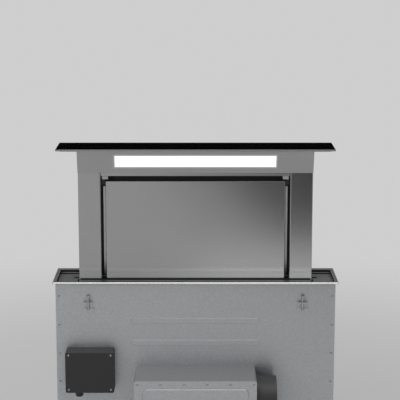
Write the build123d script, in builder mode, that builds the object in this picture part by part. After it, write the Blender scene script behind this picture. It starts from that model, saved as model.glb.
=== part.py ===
from build123d import *
from math import acos, atan2, cos, degrees, pi, radians, sin, sqrt, tan
import os

os.makedirs("parts", exist_ok=True)

# Downdraft vent for a worktop. X runs across the worktop, -Y towards the cook and +Z up.
# The origin is the middle of the flush frame, on the worktop's top face.
# The column is modelled raised, with its lid lift_travel above the closed place.

# ------------------------------------------------------------------ driving dimensions
# sheet metal
sheet = 1.5
thin_sheet = 1.2
fold_radius = 3.0
rib_height = 2.0
rib_taper = 30.0

# flush frame in the worktop
frame_width = 880.0
frame_depth = 188.0
frame_corner = 3.0
rim_height = 4.0
rim_front = 14.0
rim_rear = 24.0
rim_side = 12.0
rim_bevel = 1.5
collar_height = 24.0
recess_depth = 13.0
seal_height = 3.0
seal_thickness = 2.0
seal_groove = 1.0
seal_play = 0.3

# lift
lift_travel = 406.4
lid_proud = 3.5

# glass lid and its carrier
glass_thickness = 5.0
glass_corner = 3.0
glass_chamfer = 0.8
lid_end_gap = 3.0
lid_edge_gap = 3.5
carrier_thickness = 2.0
carrier_inset = 13.0
carrier_front_inset = 6.0
carrier_rear_inset = 5.0
carrier_slots = 6
carrier_slot_length = 90.0
carrier_slot_width = 30.0

# column
column_end_gap = 78.0
column_setback = 72.0
column_rear_gap = 8.5
pillar_width = 70.0
column_overlap = 150.0
ledge_gap = 5.0
notch_size = 15.0
notch_offset = 4.0
back_rib_share = 0.7
back_rib_width = 24.0

# light header
header_height = 73.0
header_lean = 26.0
header_overhang = 30.0
header_band = 10.0
band_end_gap = 0.5
cable_slot_length = 40.0
cable_slot_width = 20.0
light_end_margin = 115.5
light_height = 37.8
bezel_margin_side = 8.0
bezel_margin_edge = 7.5
bezel_thickness = 5.0
bezel_proud = 1.5
bezel_bevel = 1.2
bezel_corner = 2.0
bezel_sleeve = 1.5
light_gap = 0.3
light_drop = 36.8
board_end_margin = 6.5
board_height = 20.0
board_thickness = 1.6
chip_count = 24
chip_size = 5.0
chip_height = 0.9
channel_depth = 10.0
channel_wall = 2.0

# suction panel
side_slot = 16.0
top_slot = 17.0
panel_foot_gap = 1.0
panel_thickness = 12.0
panel_corner = 2.5
panel_edge = 1.2
hinge_pin_radius = 2.0
hinge_clearance = 0.1
hinge_inset = 3.0
hinge_height = 5.0
hinge_pin_reach = 12.0
hinge_collar = 1.0
hinge_collar_gap = 1.0

# filters, their plate and the air guides
filter_margin = 14.0
filter_headroom = 20.0
filter_thickness = 9.0
filter_gap = 2.0
filter_rim = 12.0
filter_slats = 13
filter_setback = 22.0
filter_ledge = 9.0
filter_corner = 3.0
window_edge = 8.0
guide_reach = 8.0
guide_gap = 1.0
guide_step = 2.0

# corner blocks and catches
block_height = 21.0
block_width = 18.0
block_depth = 12.0
block_corner = 2.0
block_offset = 2.0
block_setback = 3.0
catch_height = 18.0
catch_width = 12.5
catch_depth = 9.0
catch_corner = 1.5
catch_offset = 7.0
catch_setback = 5.0

# foot of the column
sill_reach = 32.0
sill_drop = 0.5
sill_leg = 14.0
sill_lip = 6.0
sill_seal_width = 20.0
sill_seal_height = 1.2
sill_end_gap = 4.0

# casing under the worktop
casing_height = 600.0
casing_top = 6.0
foot_height = 38.5
foot_width = 60.0
foot_front = 120.0
foot_plate = 3.0
foot_hole = 6.5
foot_hole_spacing = 120.0
foot_toe = 20.0
bracket_height = 140.0
bracket_bolt_height = 60.0
bracket_bolt_spacing = 60.0
bracket_bolt_radius = 3.3
bracket_slot_length = 60.0
bracket_slot_width = 7.0
grip_height = 26.0
grip_gap = 4.0
grip_rear_gap = 7.0
tray_height = 12.0
front_rib_top = 120.0
front_rib_pitch = 70.0
front_rib_share = 1.1
front_rib_width = 18.0
rear_rib_share = 1.8
rear_rib_width = 22.0

# worktop clamps
clamp_end_gap = 99.5
clamp_reach = 15.0
clamp_width = 30.0
clamp_level = -60.0
clamp_plate = 2.0
clamp_leg = 34.0
clamp_screw = 3.0
clamp_screw_tail = 24.0
clamp_nut_radius = 5.2
clamp_nut_height = 5.0
worktop_thickness = 38.0

# rails and shoes
rail_depth = 24.5
rail_width = 8.0
rail_lead = 7.5
rail_round = 2.0
shoe_width = 36.0
shoe_height = 24.0
shoe_clearance = 0.3
shoe_spacing = 92.0
shoe_end_gap = 8.5
shoe_foot = 8.0
shoe_window = 24.0
shoe_wall = 6.0

# rack drive
rack_module = 2.5
rack_face = 16.0
rack_body = 9.0
rack_offset = 10.0
pinion_teeth = 18
pressure_angle = 20.0
tooth_thinning = 0.12
shaft_radius = 6.0
shaft_clearance = 0.05
shaft_height = 25.0
shaft_overhang = 8.0
shaft_chamfer = 1.0
pinion_hub_wall = 5.0
pinion_hub_reach = 5.0
gear_module = 2.0
gear_teeth = 20
motor_teeth = 15
gear_face = 12.0
gear_hub_wall = 4.0
gear_hub_length = 6.0
motor_lead = 7.0
gear_x = 60.0
mount_gap = 8.0
mount_plate = 3.0
mount_margin = 4.0
mount_shoulder = 16.0
mount_shaft_gap = 3.0
mount_pinion_gap = 1.0
mount_flange = 24.0
gearbox_radius = 18.0
gearbox_length = 42.0
can_radius = 16.0
can_length = 86.0
can_chamfer = 2.0
motor_boss_radius = 6.0
motor_boss_length = 5.0
motor_shaft_depth = 12.0
motor_shaft_tip = 4.0
motor_shaft_clearance = 0.1
bush_depth = 6.0
bush_wall = 3.0
bush_flange = 4.0
bush_flange_thickness = 2.0
switch_reach = 17.0
switch_width = 16.0
switch_height = 20.0
switch_gap = 3.0
switch_drop = 30.0
switch_rise = 10.0
lever_inset = 4.0
lever_width = 5.0
lever_reach = 2.6
lever_thickness = 1.0

# blower
blower_width = 370.0
blower_height = 310.0
blower_depth = 152.0
blower_low = 575.0
blower_corner = 6.0
cover_margin = 25.0
cover_emboss = 3.0
cover_emboss_corner = 12.0
fan_offset = -22.0
impeller_radius = 95.0
impeller_width = 78.0
impeller_blades = 28
wheel_plate = 2.0
wheel_hub_wall = 6.0
wheel_hub_length = 18.0
wheel_hub_taper = 8.0
wheel_bore_length = 20.0
blade_depth = 17.0
blade_thickness = 1.2
blade_root_gap = 0.5
blade_tip_gap = 0.3
blade_middle_lag = 2.5
blade_tip_lag = 13.0
inlet_radius = 72.0
window_gap = 3.0
ring_flange = 14.0
bell_depth = 5.0
bell_step = 2.0
fan_gap = 6.0
wheel_gap = 10.0
scroll_wall = 2.0
scroll_growth = 30.0
tongue_turn = 280
mouth_x = 110.0
hub_gap = 2.0
motor_radius = 46.0
motor_length = 44.0
motor_hub_radius = 14.0
motor_shaft_radius = 4.0
motor_flange = 4.0
motor_lugs = 3
motor_lug_radius = 7.0
motor_lug_reach = 4.0
motor_chamfer = 4.0
motor_hub_reach = 3.0
fan_shaft_reach = 16.0
duct_radius = 74.7
duct_wall = 1.7
duct_length = 62.0
duct_margin = 10.0
duct_spigot = 50.0
duct_root = 0.8
duct_lead = 4.0
flange_gap = 0.5
flange_margin = 5.0
flange_corner = 8.0
flap_thickness = 1.2
flap_clearance = 1.0
flap_pin_radius = 2.0
flap_inset = 12.0
flap_slit = 0.6
knuckle_wall = 1.3
knuckle_length = 50.0
knuckle_gap = 2.0
knuckle_tab = 6.0

# control box, its board and its cable gland
box_end_gap = 104.5
box_z = -270.0
box_width = 150.0
box_height = 130.0
box_depth = 52.0
box_wall = 2.5
box_corner = 6.0
box_cover = 3.0
box_cover_chamfer = 1.0
post_margin_x = 17.0
post_margin_z = 20.0
post_radius = 4.0
post_height = 10.0
control_margin_x = 11.0
control_margin_z = 14.0
control_part_height = 16.0
# relay block, transformer and terminal strip: middle from the box's middle, then size
control_parts = ((-30, 18, 34, 28), (24, 22, 18, 16), (8, -30, 70, 12))
gland_offset = 35.0
gland_bore = 4.2
gland_thread = 10.0
gland_inside = 4.0
gland_nut_radius = 13.5
gland_nut_height = 6.0
gland_cap_radius = 12.0
gland_cap_length = 13.0
gland_cap_chamfer = 3.0

# ------------------------------------------------------------------ derived places
opening_width = frame_width - 2 * rim_side
opening_front = rim_front - frame_depth / 2
opening_rear = frame_depth / 2 - rim_rear
opening_depth = opening_rear - opening_front
opening_y = (opening_front + opening_rear) / 2
recess_z = rim_height - recess_depth
collar_width = opening_width + 2 * sheet
collar_depth = opening_depth + 2 * sheet

glass_width = opening_width - 2 * lid_end_gap
glass_depth = opening_depth - 2 * lid_edge_gap
glass_top_z = rim_height + lid_proud + lift_travel
glass_z = glass_top_z - glass_thickness
carrier_z = glass_z - carrier_thickness
glass_front = opening_y - glass_depth / 2
glass_rear = opening_y + glass_depth / 2

column_width = frame_width - 2 * column_end_gap
column_half = column_width / 2
column_front = column_setback - frame_depth / 2
column_rear = opening_rear - column_rear_gap
column_depth = column_rear - column_front
column_mid = (column_front + column_rear) / 2
pillar_inner = column_half - pillar_width
panel_half = pillar_inner - side_slot
column_foot = -column_overlap

header_z = carrier_z - header_height
header_top_front = column_front - header_overhang
header_low_front = header_top_front + header_lean
light_width = column_width - 2 * light_end_margin
board_width = light_width - 2 * board_end_margin
band_z = header_z - header_band
panel_top = band_z - top_slot
panel_rear = column_front + panel_thickness
filter_width = panel_half - filter_margin
filter_height = panel_top - filter_ledge - filter_headroom

casing_half = opening_width / 2 + sheet
casing_front_y = opening_front - sheet
casing_rear_y = opening_rear + sheet
casing_mid_y = (casing_front_y + casing_rear_y) / 2
casing_depth = casing_rear_y - casing_front_y
casing_outer_front = casing_front_y - sheet
casing_outer_rear = casing_rear_y + sheet

rail_y = column_front - rail_lead
rail_inner = casing_half - rail_depth
switch_y = rail_y + shoe_width / 2 + switch_gap + switch_width / 2
grip_front_y = rail_y + rail_width / 2 + grip_gap
grip_length = casing_rear_y - grip_rear_gap - grip_front_y
grip_y = grip_front_y + grip_length / 2

pinion_radius = rack_module * pinion_teeth / 2
rack_root_y = casing_rear_y - rack_body
rack_pitch_y = rack_root_y - 1.25 * rack_module
shaft_y = rack_pitch_y - pinion_radius
shaft_z = column_foot + shaft_height
rack_x = column_half + rack_offset
gear_radius = gear_module * gear_teeth / 2
motor_gear_radius = gear_module * motor_teeth / 2
gear_distance = gear_radius + motor_gear_radius
motor_y = shaft_y - motor_lead
motor_z = shaft_z + sqrt(gear_distance**2 - motor_lead**2)

blower_front = casing_outer_front - blower_depth
blower_low_top = blower_height - blower_low
fan_x = fan_offset
fan_z = blower_height / 2 - blower_low
wheel_rear = casing_outer_front - wheel_gap
wheel_front = wheel_rear - impeller_width
duct_y = blower_front + blower_depth / 2
duct_z = blower_low_top - duct_radius - duct_margin

# the light's plane, on the inclined face, with its x across and its y up the slope
slope = sqrt(header_height**2 + header_lean**2)
slope_out = (0, -header_height / slope, -header_lean / slope)
face_plane = Plane(
    origin=(
        0,
        header_top_front + header_lean * light_drop / slope,
        carrier_z - header_height * light_drop / slope,
    ),
    x_dir=(1, 0, 0),
    z_dir=slope_out,
)


def gear_points(teeth, module, phase, centre_y, centre_z):
    """Corners of a spur gear's outline in Y and Z, with involute flanks, turned by phase degrees."""
    pitch = module * teeth / 2
    base = pitch * cos(radians(pressure_angle))
    tip = pitch + module
    root = pitch - 1.25 * module
    half = (pi * module / 2 - tooth_thinning) / (2 * pitch)
    roll = tan(radians(pressure_angle)) - radians(pressure_angle)
    low = max(base, root)
    flank = []
    for radius in (low, (low + pitch) / 2, pitch, (pitch + tip) / 2, tip):
        angle = acos(min(1.0, base / radius))
        flank.append((radius, half + roll - (tan(angle) - angle)))
    if root < base:
        flank.insert(0, (root, flank[0][1]))
    points = []
    for tooth in range(teeth):
        middle = radians(phase) + 2 * pi * tooth / teeth
        rising = [(radius, middle - turn) for radius, turn in flank]
        falling = [(radius, middle + turn) for radius, turn in reversed(flank)]
        for radius, angle in rising + falling:
            points.append((centre_y + radius * cos(angle), centre_z + radius * sin(angle)))
    return points


def rack_points(low, high, gap_at):
    """Corners of a rack's outline in Y and Z, teeth towards -Y, with a tooth gap at gap_at."""
    pitch = pi * rack_module
    lean = tan(radians(pressure_angle))
    half = (pitch / 2 - tooth_thinning) / 2
    tip_half = half - rack_module * lean
    root_half = half + 1.25 * rack_module * lean
    tip_y = rack_pitch_y - rack_module
    points = [(casing_rear_y, low), (rack_root_y, low)]
    first = int((low - gap_at) / pitch) - 1
    last = int((high - gap_at) / pitch) + 1
    for tooth in range(first, last):
        middle = gap_at + (tooth + 0.5) * pitch
        if middle - root_half > low and middle + root_half < high:
            points.append((rack_root_y, middle - root_half))
            points.append((tip_y, middle - tip_half))
            points.append((tip_y, middle + tip_half))
            points.append((rack_root_y, middle + root_half))
    points.append((rack_root_y, high))
    points.append((casing_rear_y, high))
    return points


# ------------------------------------------------------------------ flush frame
with BuildPart() as top_frame:
    with BuildSketch():
        RectangleRounded(frame_width, frame_depth, frame_corner)
    extrude(amount=rim_height)
    chamfer(top_frame.faces().sort_by(Axis.Z)[-1].edges(), rim_bevel)
    with BuildSketch(Plane.XY.offset(-collar_height)):
        with Locations((0, opening_y)):
            Rectangle(collar_width, collar_depth)
    extrude(amount=collar_height)
    with BuildSketch(Plane.XY.offset(-collar_height)):
        with Locations((0, opening_y)):
            Rectangle(opening_width, opening_depth)
    extrude(amount=collar_height + rim_height, mode=Mode.SUBTRACT)
    # groove in the flange's underside for the seal
    with BuildSketch():
        with Locations((0, opening_y)):
            groove_margin = 2 * (seal_thickness + seal_play)
            Rectangle(collar_width + groove_margin, collar_depth + groove_margin)
            Rectangle(collar_width, collar_depth, mode=Mode.SUBTRACT)
    extrude(amount=seal_groove, mode=Mode.SUBTRACT)
top_frame.part.label = "top_frame"
export_step(top_frame.part, "parts/top_frame.step")

with BuildPart() as frame_seal:
    with BuildSketch(Plane.XY.offset(seal_groove - seal_height)):
        with Locations((0, opening_y)):
            Rectangle(collar_width + 2 * seal_thickness, collar_depth + 2 * seal_thickness)
            Rectangle(collar_width, collar_depth, mode=Mode.SUBTRACT)
    extrude(amount=seal_height)
frame_seal.part.label = "frame_seal"
export_step(frame_seal.part, "parts/frame_seal.step")

# recessed plate at each end, folded down all round, with a notch beside the column
ledge_inner = column_half + ledge_gap
ledge_length = opening_width / 2 - ledge_inner
ledge_mid = ledge_inner + ledge_length / 2
ledge_fold = collar_height + recess_z
notch_y = column_mid + notch_offset
for side, name in ((-1, "left_ledge"), (1, "right_ledge")):
    with BuildPart() as ledge:
        with BuildSketch(Plane.XY.offset(-collar_height)):
            with Locations((side * ledge_mid, opening_y)):
                Rectangle(ledge_length, opening_depth)
        extrude(amount=ledge_fold)
        with BuildSketch(Plane.XY.offset(-collar_height)):
            with Locations((side * ledge_mid, opening_y)):
                Rectangle(ledge_length - 2 * sheet, opening_depth - 2 * sheet)
        extrude(amount=ledge_fold - sheet, mode=Mode.SUBTRACT)
        with BuildSketch(Plane.XY.offset(-collar_height)):
            with Locations((side * (ledge_inner + notch_size / 2), notch_y)):
                Rectangle(notch_size, notch_size)
        extrude(amount=ledge_fold, mode=Mode.SUBTRACT)
    ledge.part.label = name
    export_step(ledge.part, f"parts/{name}.step")

# ------------------------------------------------------------------ lid
with BuildPart() as glass_top:
    with BuildSketch(Plane.XY.offset(glass_z)):
        with Locations((0, opening_y)):
            RectangleRounded(glass_width, glass_depth, glass_corner)
    extrude(amount=glass_thickness)
    chamfer(glass_top.faces().sort_by(Axis.Z)[-1].edges(), glass_chamfer)
    chamfer(glass_top.faces().sort_by(Axis.Z)[0].edges(), glass_chamfer)
glass_top.part.label = "glass_top"
export_step(glass_top.part, "parts/glass_top.step")

carrier_front = glass_front + carrier_front_inset
carrier_rear = glass_rear - carrier_rear_inset
with BuildPart() as glass_carrier:
    with BuildSketch(Plane.XY.offset(carrier_z)):
        with Locations((0, (carrier_front + carrier_rear) / 2)):
            RectangleRounded(glass_width - 2 * carrier_inset, carrier_rear - carrier_front, glass_corner)
            with GridLocations((glass_width - 2 * carrier_inset) / carrier_slots, 0, carrier_slots, 1):
                SlotOverall(carrier_slot_length, carrier_slot_width, mode=Mode.SUBTRACT)
    extrude(amount=carrier_thickness)
glass_carrier.part.label = "glass_carrier"
export_step(glass_carrier.part, "parts/glass_carrier.step")

# ------------------------------------------------------------------ light header
bezel_width = light_width + 2 * bezel_margin_side
bezel_height = light_height + 2 * bezel_margin_edge
header_outline = [
    (header_top_front, carrier_z),
    (header_low_front, header_z),
    (column_rear, header_z),
    (column_rear, carrier_z),
]
with BuildPart() as light_header:
    with BuildSketch(Plane.YZ.offset(-column_half)):
        with BuildLine():
            Polyline(*header_outline, close=True)
        make_face()
    extrude(amount=column_width)
    with BuildSketch(Plane.YZ.offset(sheet - column_half)):
        with BuildLine():
            Polyline(*header_outline, close=True)
        make_face()
        offset(amount=-sheet, kind=Kind.INTERSECTION, mode=Mode.REPLACE)
    extrude(amount=column_width - 2 * sheet, mode=Mode.SUBTRACT)
    # window for the light
    with BuildSketch(face_plane.offset(sheet)):
        window_margin = 2 * (bezel_sleeve + light_gap)
        Rectangle(light_width + window_margin, light_height + window_margin)
    extrude(amount=-3 * sheet, mode=Mode.SUBTRACT)
    # band above the top suction gap
    with BuildSketch(Plane.XZ.offset(-column_front)):
        with Locations((0, band_z + header_band / 2)):
            Rectangle(2 * (pillar_inner - band_end_gap), header_band)
    extrude(amount=-sheet)
    # cable and screw openings in the floor, over each pillar
    with BuildSketch(Plane.XY.offset(header_z)):
        with Locations((0, column_mid)):
            with GridLocations(2 * pillar_inner + pillar_width, 0, 2, 1):
                SlotOverall(cable_slot_length, cable_slot_width)
    extrude(amount=sheet, mode=Mode.SUBTRACT)
light_header.part.label = "light_header"
export_step(light_header.part, "parts/light_header.step")

with BuildPart() as led_bezel:
    with BuildSketch(face_plane):
        RectangleRounded(bezel_width, bezel_height, bezel_corner)
    extrude(amount=bezel_proud)
    chamfer(led_bezel.faces().sort_by(Axis((0, 0, 0), slope_out))[-1].edges(), bezel_bevel)
    with BuildSketch(face_plane):
        Rectangle(light_width + 2 * bezel_sleeve, light_height + 2 * bezel_sleeve)
    extrude(amount=-bezel_thickness)
    with BuildSketch(face_plane.offset(bezel_proud)):
        Rectangle(light_width, light_height)
    extrude(amount=-bezel_thickness - bezel_proud, mode=Mode.SUBTRACT)
led_bezel.part.label = "led_bezel"
export_step(led_bezel.part, "parts/led_bezel.step")

with BuildPart() as led_diffuser:
    with BuildSketch(face_plane.offset(-bezel_thickness)):
        Rectangle(light_width, light_height)
    extrude(amount=bezel_thickness + bezel_proud / 2)
led_diffuser.part.label = "led_diffuser"
export_step(led_diffuser.part, "parts/led_diffuser.step")

# lamp board on its aluminium channel, behind the diffuser
channel_height = light_height + 2 * bezel_sleeve
board_level = channel_wall - channel_depth - bezel_thickness
with BuildPart() as led_channel:
    with BuildSketch(face_plane.offset(-bezel_thickness)):
        Rectangle(light_width + 2 * bezel_sleeve, channel_height)
    extrude(amount=-channel_depth)
    with BuildSketch(face_plane.offset(-bezel_thickness)):
        Rectangle(light_width, channel_height - 2 * channel_wall)
    extrude(amount=channel_wall - channel_depth, mode=Mode.SUBTRACT)
led_channel.part.label = "led_channel"
export_step(led_channel.part, "parts/led_channel.step")

with BuildPart() as led_board:
    with BuildSketch(face_plane.offset(board_level)):
        Rectangle(board_width, board_height)
    extrude(amount=board_thickness)
    with BuildSketch(face_plane.offset(board_level + board_thickness)):
        with GridLocations(board_width / chip_count, 0, chip_count, 1):
            Rectangle(chip_size, chip_size)
    extrude(amount=chip_height)
led_board.part.label = "led_board"
export_step(led_board.part, "parts/led_board.step")

# ------------------------------------------------------------------ column
bush_radius = shaft_radius + shaft_clearance + bush_wall
for side, name in ((-1, "left_pillar"), (1, "right_pillar")):
    with BuildPart() as pillar:
        with BuildSketch(Plane.XY.offset(column_foot)):
            with Locations((side * (pillar_inner + pillar_width / 2), column_mid)):
                RectangleRounded(pillar_width, column_depth, fold_radius)
                RectangleRounded(
                    pillar_width - 2 * sheet,
                    column_depth - 2 * sheet,
                    fold_radius - sheet,
                    mode=Mode.SUBTRACT,
                )
        extrude(amount=header_z - column_foot)
        with BuildSketch(Plane.YZ):
            with Locations((shaft_y, shaft_z)):
                Circle(bush_radius)
        extrude(amount=side * 2 * column_half, mode=Mode.SUBTRACT)
        with BuildSketch(Plane.YZ):
            with Locations((column_front + hinge_inset, panel_foot_gap + hinge_height)):
                Circle(hinge_pin_radius)
        extrude(amount=side * (pillar_inner + 2 * sheet), mode=Mode.SUBTRACT)
    pillar.part.label = name
    export_step(pillar.part, f"parts/{name}.step")

with BuildPart() as column_back:
    with BuildSketch(Plane.XZ.offset(-column_rear)):
        with Locations((0, (column_foot + header_z) / 2)):
            Rectangle(2 * pillar_inner, header_z - column_foot)
    extrude(amount=sheet)
    # pressed ribs that stiffen the sheet
    with BuildSketch(Plane.XZ.offset(sheet - column_rear)):
        with GridLocations(pillar_inner / 2, 0, 3, 1):
            with Locations((0, (column_foot + header_z) / 2)):
                SlotOverall(back_rib_share * (header_z - column_foot), back_rib_width, rotation=90)
    extrude(amount=rib_height, taper=rib_taper)
column_back.part.label = "column_back"
export_step(column_back.part, "parts/column_back.step")

# foot sheet between the pillars, under the panel, with a shelf that closes the suction space
filter_plate_y = column_front + filter_setback + filter_thickness
with BuildPart() as column_apron:
    with BuildSketch(Plane.YZ.offset(-pillar_inner)):
        with BuildLine():
            Polyline(
                (column_front, column_foot),
                (column_front + sheet, column_foot),
                (column_front + sheet, -sill_leg - sheet),
                (filter_plate_y + sheet, -sill_leg - sheet),
                (filter_plate_y + sheet, -sill_leg),
                (column_front, -sill_leg),
                close=True,
            )
        make_face()
    extrude(amount=2 * pillar_inner)
column_apron.part.label = "column_apron"
export_step(column_apron.part, "parts/column_apron.step")

# filter plate with its window, behind the suction panel
filter_low = filter_ledge
filters_half = filter_width + filter_gap / 2
with BuildPart() as filter_plate:
    with BuildSketch(Plane.XZ.offset(-filter_plate_y)):
        with Locations((0, (header_z - sill_leg) / 2)):
            Rectangle(2 * pillar_inner, header_z + sill_leg)
        for side in (-1, 1):
            with Locations((side * (filter_gap + filter_width) / 2, filter_low + filter_height / 2)):
                Rectangle(
                    filter_width - 2 * window_edge,
                    filter_height - 2 * window_edge,
                    mode=Mode.SUBTRACT,
                )
    extrude(amount=-sheet)
    # shelf lip that the filters stand on
    with BuildSketch(Plane.XY.offset(filter_low - sheet)):
        with Locations((0, filter_plate_y - filter_thickness / 2)):
            Rectangle(2 * filters_half, filter_thickness)
    extrude(amount=sheet)
filter_plate.part.label = "filter_plate"
export_step(filter_plate.part, "parts/filter_plate.step")

# grease filters: a rim round a baffle of upright slats
slat_pitch = (filter_width - 2 * filter_rim) / filter_slats
with BuildPart() as grease_filters:
    for side in (-1, 1):
        with BuildSketch(Plane.XZ.offset(-filter_plate_y)):
            with Locations((side * (filter_gap + filter_width) / 2, filter_low + filter_height / 2)):
                RectangleRounded(filter_width, filter_height, filter_corner)
                with GridLocations(slat_pitch, 0, filter_slats, 1):
                    Rectangle(slat_pitch / 2, filter_height - 2 * filter_rim, mode=Mode.SUBTRACT)
        extrude(amount=filter_thickness)
grease_filters.part.label = "grease_filters"
export_step(grease_filters.part, "parts/grease_filters.step")

# air guides that lead the suction round the panel's side edges
guide_inner = panel_half + guide_gap
guide_outer = panel_half + guide_reach
with BuildPart() as air_guides:
    for side in (-1, 1):
        with BuildSketch(Plane.XY.offset(filter_low)):
            with BuildLine():
                Polyline(
                    (side * guide_inner, filter_plate_y),
                    (side * guide_inner, panel_rear + guide_step),
                    (side * guide_outer, panel_rear - guide_step),
                    (side * guide_outer, panel_rear - guide_step + sheet),
                    (side * (guide_inner + sheet), panel_rear + guide_step + sheet),
                    (side * (guide_inner + sheet), filter_plate_y),
                    close=True,
                )
            make_face()
        extrude(amount=panel_top - top_slot - filter_low)
air_guides.part.label = "air_guides"
export_step(air_guides.part, "parts/air_guides.step")

# corner blocks at the ends of the top gap, and the sprung catches under them
block_x = panel_half + block_offset
with BuildPart() as corner_blocks:
    for side in (-1, 1):
        with BuildSketch(Plane.XZ.offset(-(column_front + block_setback))):
            with Locations((side * block_x, header_z - block_height / 2)):
                RectangleRounded(block_width, block_height, block_corner)
        extrude(amount=-block_depth)
corner_blocks.part.label = "corner_blocks"
export_step(corner_blocks.part, "parts/corner_blocks.step")

with BuildPart() as catch_blocks:
    for side in (-1, 1):
        with BuildSketch(Plane.XZ.offset(-(column_front + catch_setback))):
            with Locations((side * (panel_half + catch_offset), header_z - block_height - catch_height / 2)):
                RectangleRounded(catch_width, catch_height, catch_corner)
        extrude(amount=-catch_depth)
catch_blocks.part.label = "catch_blocks"
export_step(catch_blocks.part, "parts/catch_blocks.step")

# suction panel: a folded tray that tips forward on two pins at its lower corners
panel_low = panel_foot_gap
panel_height = panel_top - panel_low
with BuildPart() as front_panel:
    with BuildSketch(Plane.XZ.offset(-column_front)):
        with Locations((0, panel_low + panel_height / 2)):
            RectangleRounded(2 * panel_half, panel_height, panel_corner)
    extrude(amount=-panel_thickness)
    fillet(front_panel.faces().sort_by(Axis.Y)[0].edges(), panel_edge)
    with BuildSketch(Plane.XZ.offset(-panel_rear)):
        with Locations((0, panel_low + panel_height / 2)):
            Rectangle(2 * panel_half - 2 * thin_sheet, panel_height - 2 * thin_sheet)
    extrude(amount=panel_thickness - thin_sheet, mode=Mode.SUBTRACT)
    with BuildSketch(Plane.YZ.offset(-column_half)):
        with Locations((column_front + hinge_inset, panel_low + hinge_height)):
            Circle(hinge_pin_radius + hinge_clearance)
    extrude(amount=column_width, mode=Mode.SUBTRACT)
front_panel.part.label = "front_panel"
export_step(front_panel.part, "parts/front_panel.step")

with BuildPart() as hinge_pins:
    for side in (-1, 1):
        with BuildSketch(Plane.YZ.offset(side * (pillar_inner + sheet))):
            with Locations((column_front + hinge_inset, panel_low + hinge_height)):
                Circle(hinge_pin_radius)
        extrude(amount=-side * (side_slot + sheet + hinge_pin_reach))
        with BuildSketch(Plane.YZ.offset(side * pillar_inner)):
            with Locations((column_front + hinge_inset, panel_low + hinge_height)):
                Circle(hinge_pin_radius + hinge_collar)
        extrude(amount=-side * (side_slot - hinge_collar_gap))
hinge_pins.part.label = "hinge_pins"
export_step(hinge_pins.part, "parts/hinge_pins.step")

# sill strip in front of the column's foot, with a black seal against the column
with BuildPart() as sill_strip:
    with BuildSketch(Plane.YZ.offset(sill_end_gap - column_half)):
        with BuildLine():
            Polyline(
                (column_front, -sill_leg),
                (column_front, -sill_drop),
                (column_front - sill_reach, -sill_drop),
                (column_front - sill_reach, -sill_drop - sill_lip),
                (column_front - sill_reach + sheet, -sill_drop - sill_lip),
                (column_front - sill_reach + sheet, -sill_drop - sheet),
                (column_front - sheet, -sill_drop - sheet),
                (column_front - sheet, -sill_leg),
                close=True,
            )
        make_face()
    extrude(amount=column_width - 2 * sill_end_gap)
sill_strip.part.label = "sill_strip"
export_step(sill_strip.part, "parts/sill_strip.step")

with BuildPart() as sill_seal:
    with BuildSketch(Plane.XY.offset(-sill_drop)):
        with Locations((0, column_front - sill_seal_width / 2)):
            Rectangle(column_width - 2 * sill_end_gap, sill_seal_width)
    extrude(amount=sill_seal_height)
sill_seal.part.label = "sill_seal"
export_step(sill_seal.part, "parts/sill_seal.step")

# ------------------------------------------------------------------ lift drive
shoe_end = casing_half - shoe_end_gap
with BuildPart() as guide_shoes:
    for side in (-1, 1):
        for low in (column_foot, column_foot + shoe_spacing):
            with BuildSketch(Plane.XY.offset(low)):
                with Locations((side * (column_half + shoe_end) / 2, rail_y)):
                    Rectangle(shoe_end - column_half, shoe_width)
                with Locations((side * (rail_inner + casing_half) / 2, rail_y)):
                    Rectangle(
                        rail_depth + 2 * shoe_clearance,
                        rail_width + 2 * shoe_clearance,
                        mode=Mode.SUBTRACT,
                    )
                with Locations((side * (column_half + shoe_foot + shoe_window / 2), rail_y)):
                    Rectangle(shoe_window, shoe_width - 2 * shoe_wall, mode=Mode.SUBTRACT)
            extrude(amount=shoe_height)
guide_shoes.part.label = "guide_shoes"
export_step(guide_shoes.part, "parts/guide_shoes.step")

with BuildPart() as shaft_bushes:
    for side in (-1, 1):
        for wall, outward in ((column_half, 1), (pillar_inner, -1)):
            with BuildSketch(Plane.YZ.offset(side * (wall - outward * bush_depth))):
                with Locations((shaft_y, shaft_z)):
                    Circle(bush_radius)
                    Circle(shaft_radius + shaft_clearance, mode=Mode.SUBTRACT)
            extrude(amount=side * outward * bush_depth)
            with BuildSketch(Plane.YZ.offset(side * wall)):
                with Locations((shaft_y, shaft_z)):
                    Circle(bush_radius + bush_flange)
                    Circle(shaft_radius + shaft_clearance, mode=Mode.SUBTRACT)
            extrude(amount=side * outward * bush_flange_thickness)
shaft_bushes.part.label = "shaft_bushes"
export_step(shaft_bushes.part, "parts/shaft_bushes.step")

shaft_half = rack_x + rack_face + shaft_overhang
with BuildPart() as cross_shaft:
    with BuildSketch(Plane.YZ.offset(-shaft_half)):
        with Locations((shaft_y, shaft_z)):
            Circle(shaft_radius)
    extrude(amount=2 * shaft_half)
    chamfer(cross_shaft.edges().filter_by(GeomType.CIRCLE), shaft_chamfer)
cross_shaft.part.label = "cross_shaft"
export_step(cross_shaft.part, "parts/cross_shaft.step")

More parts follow.
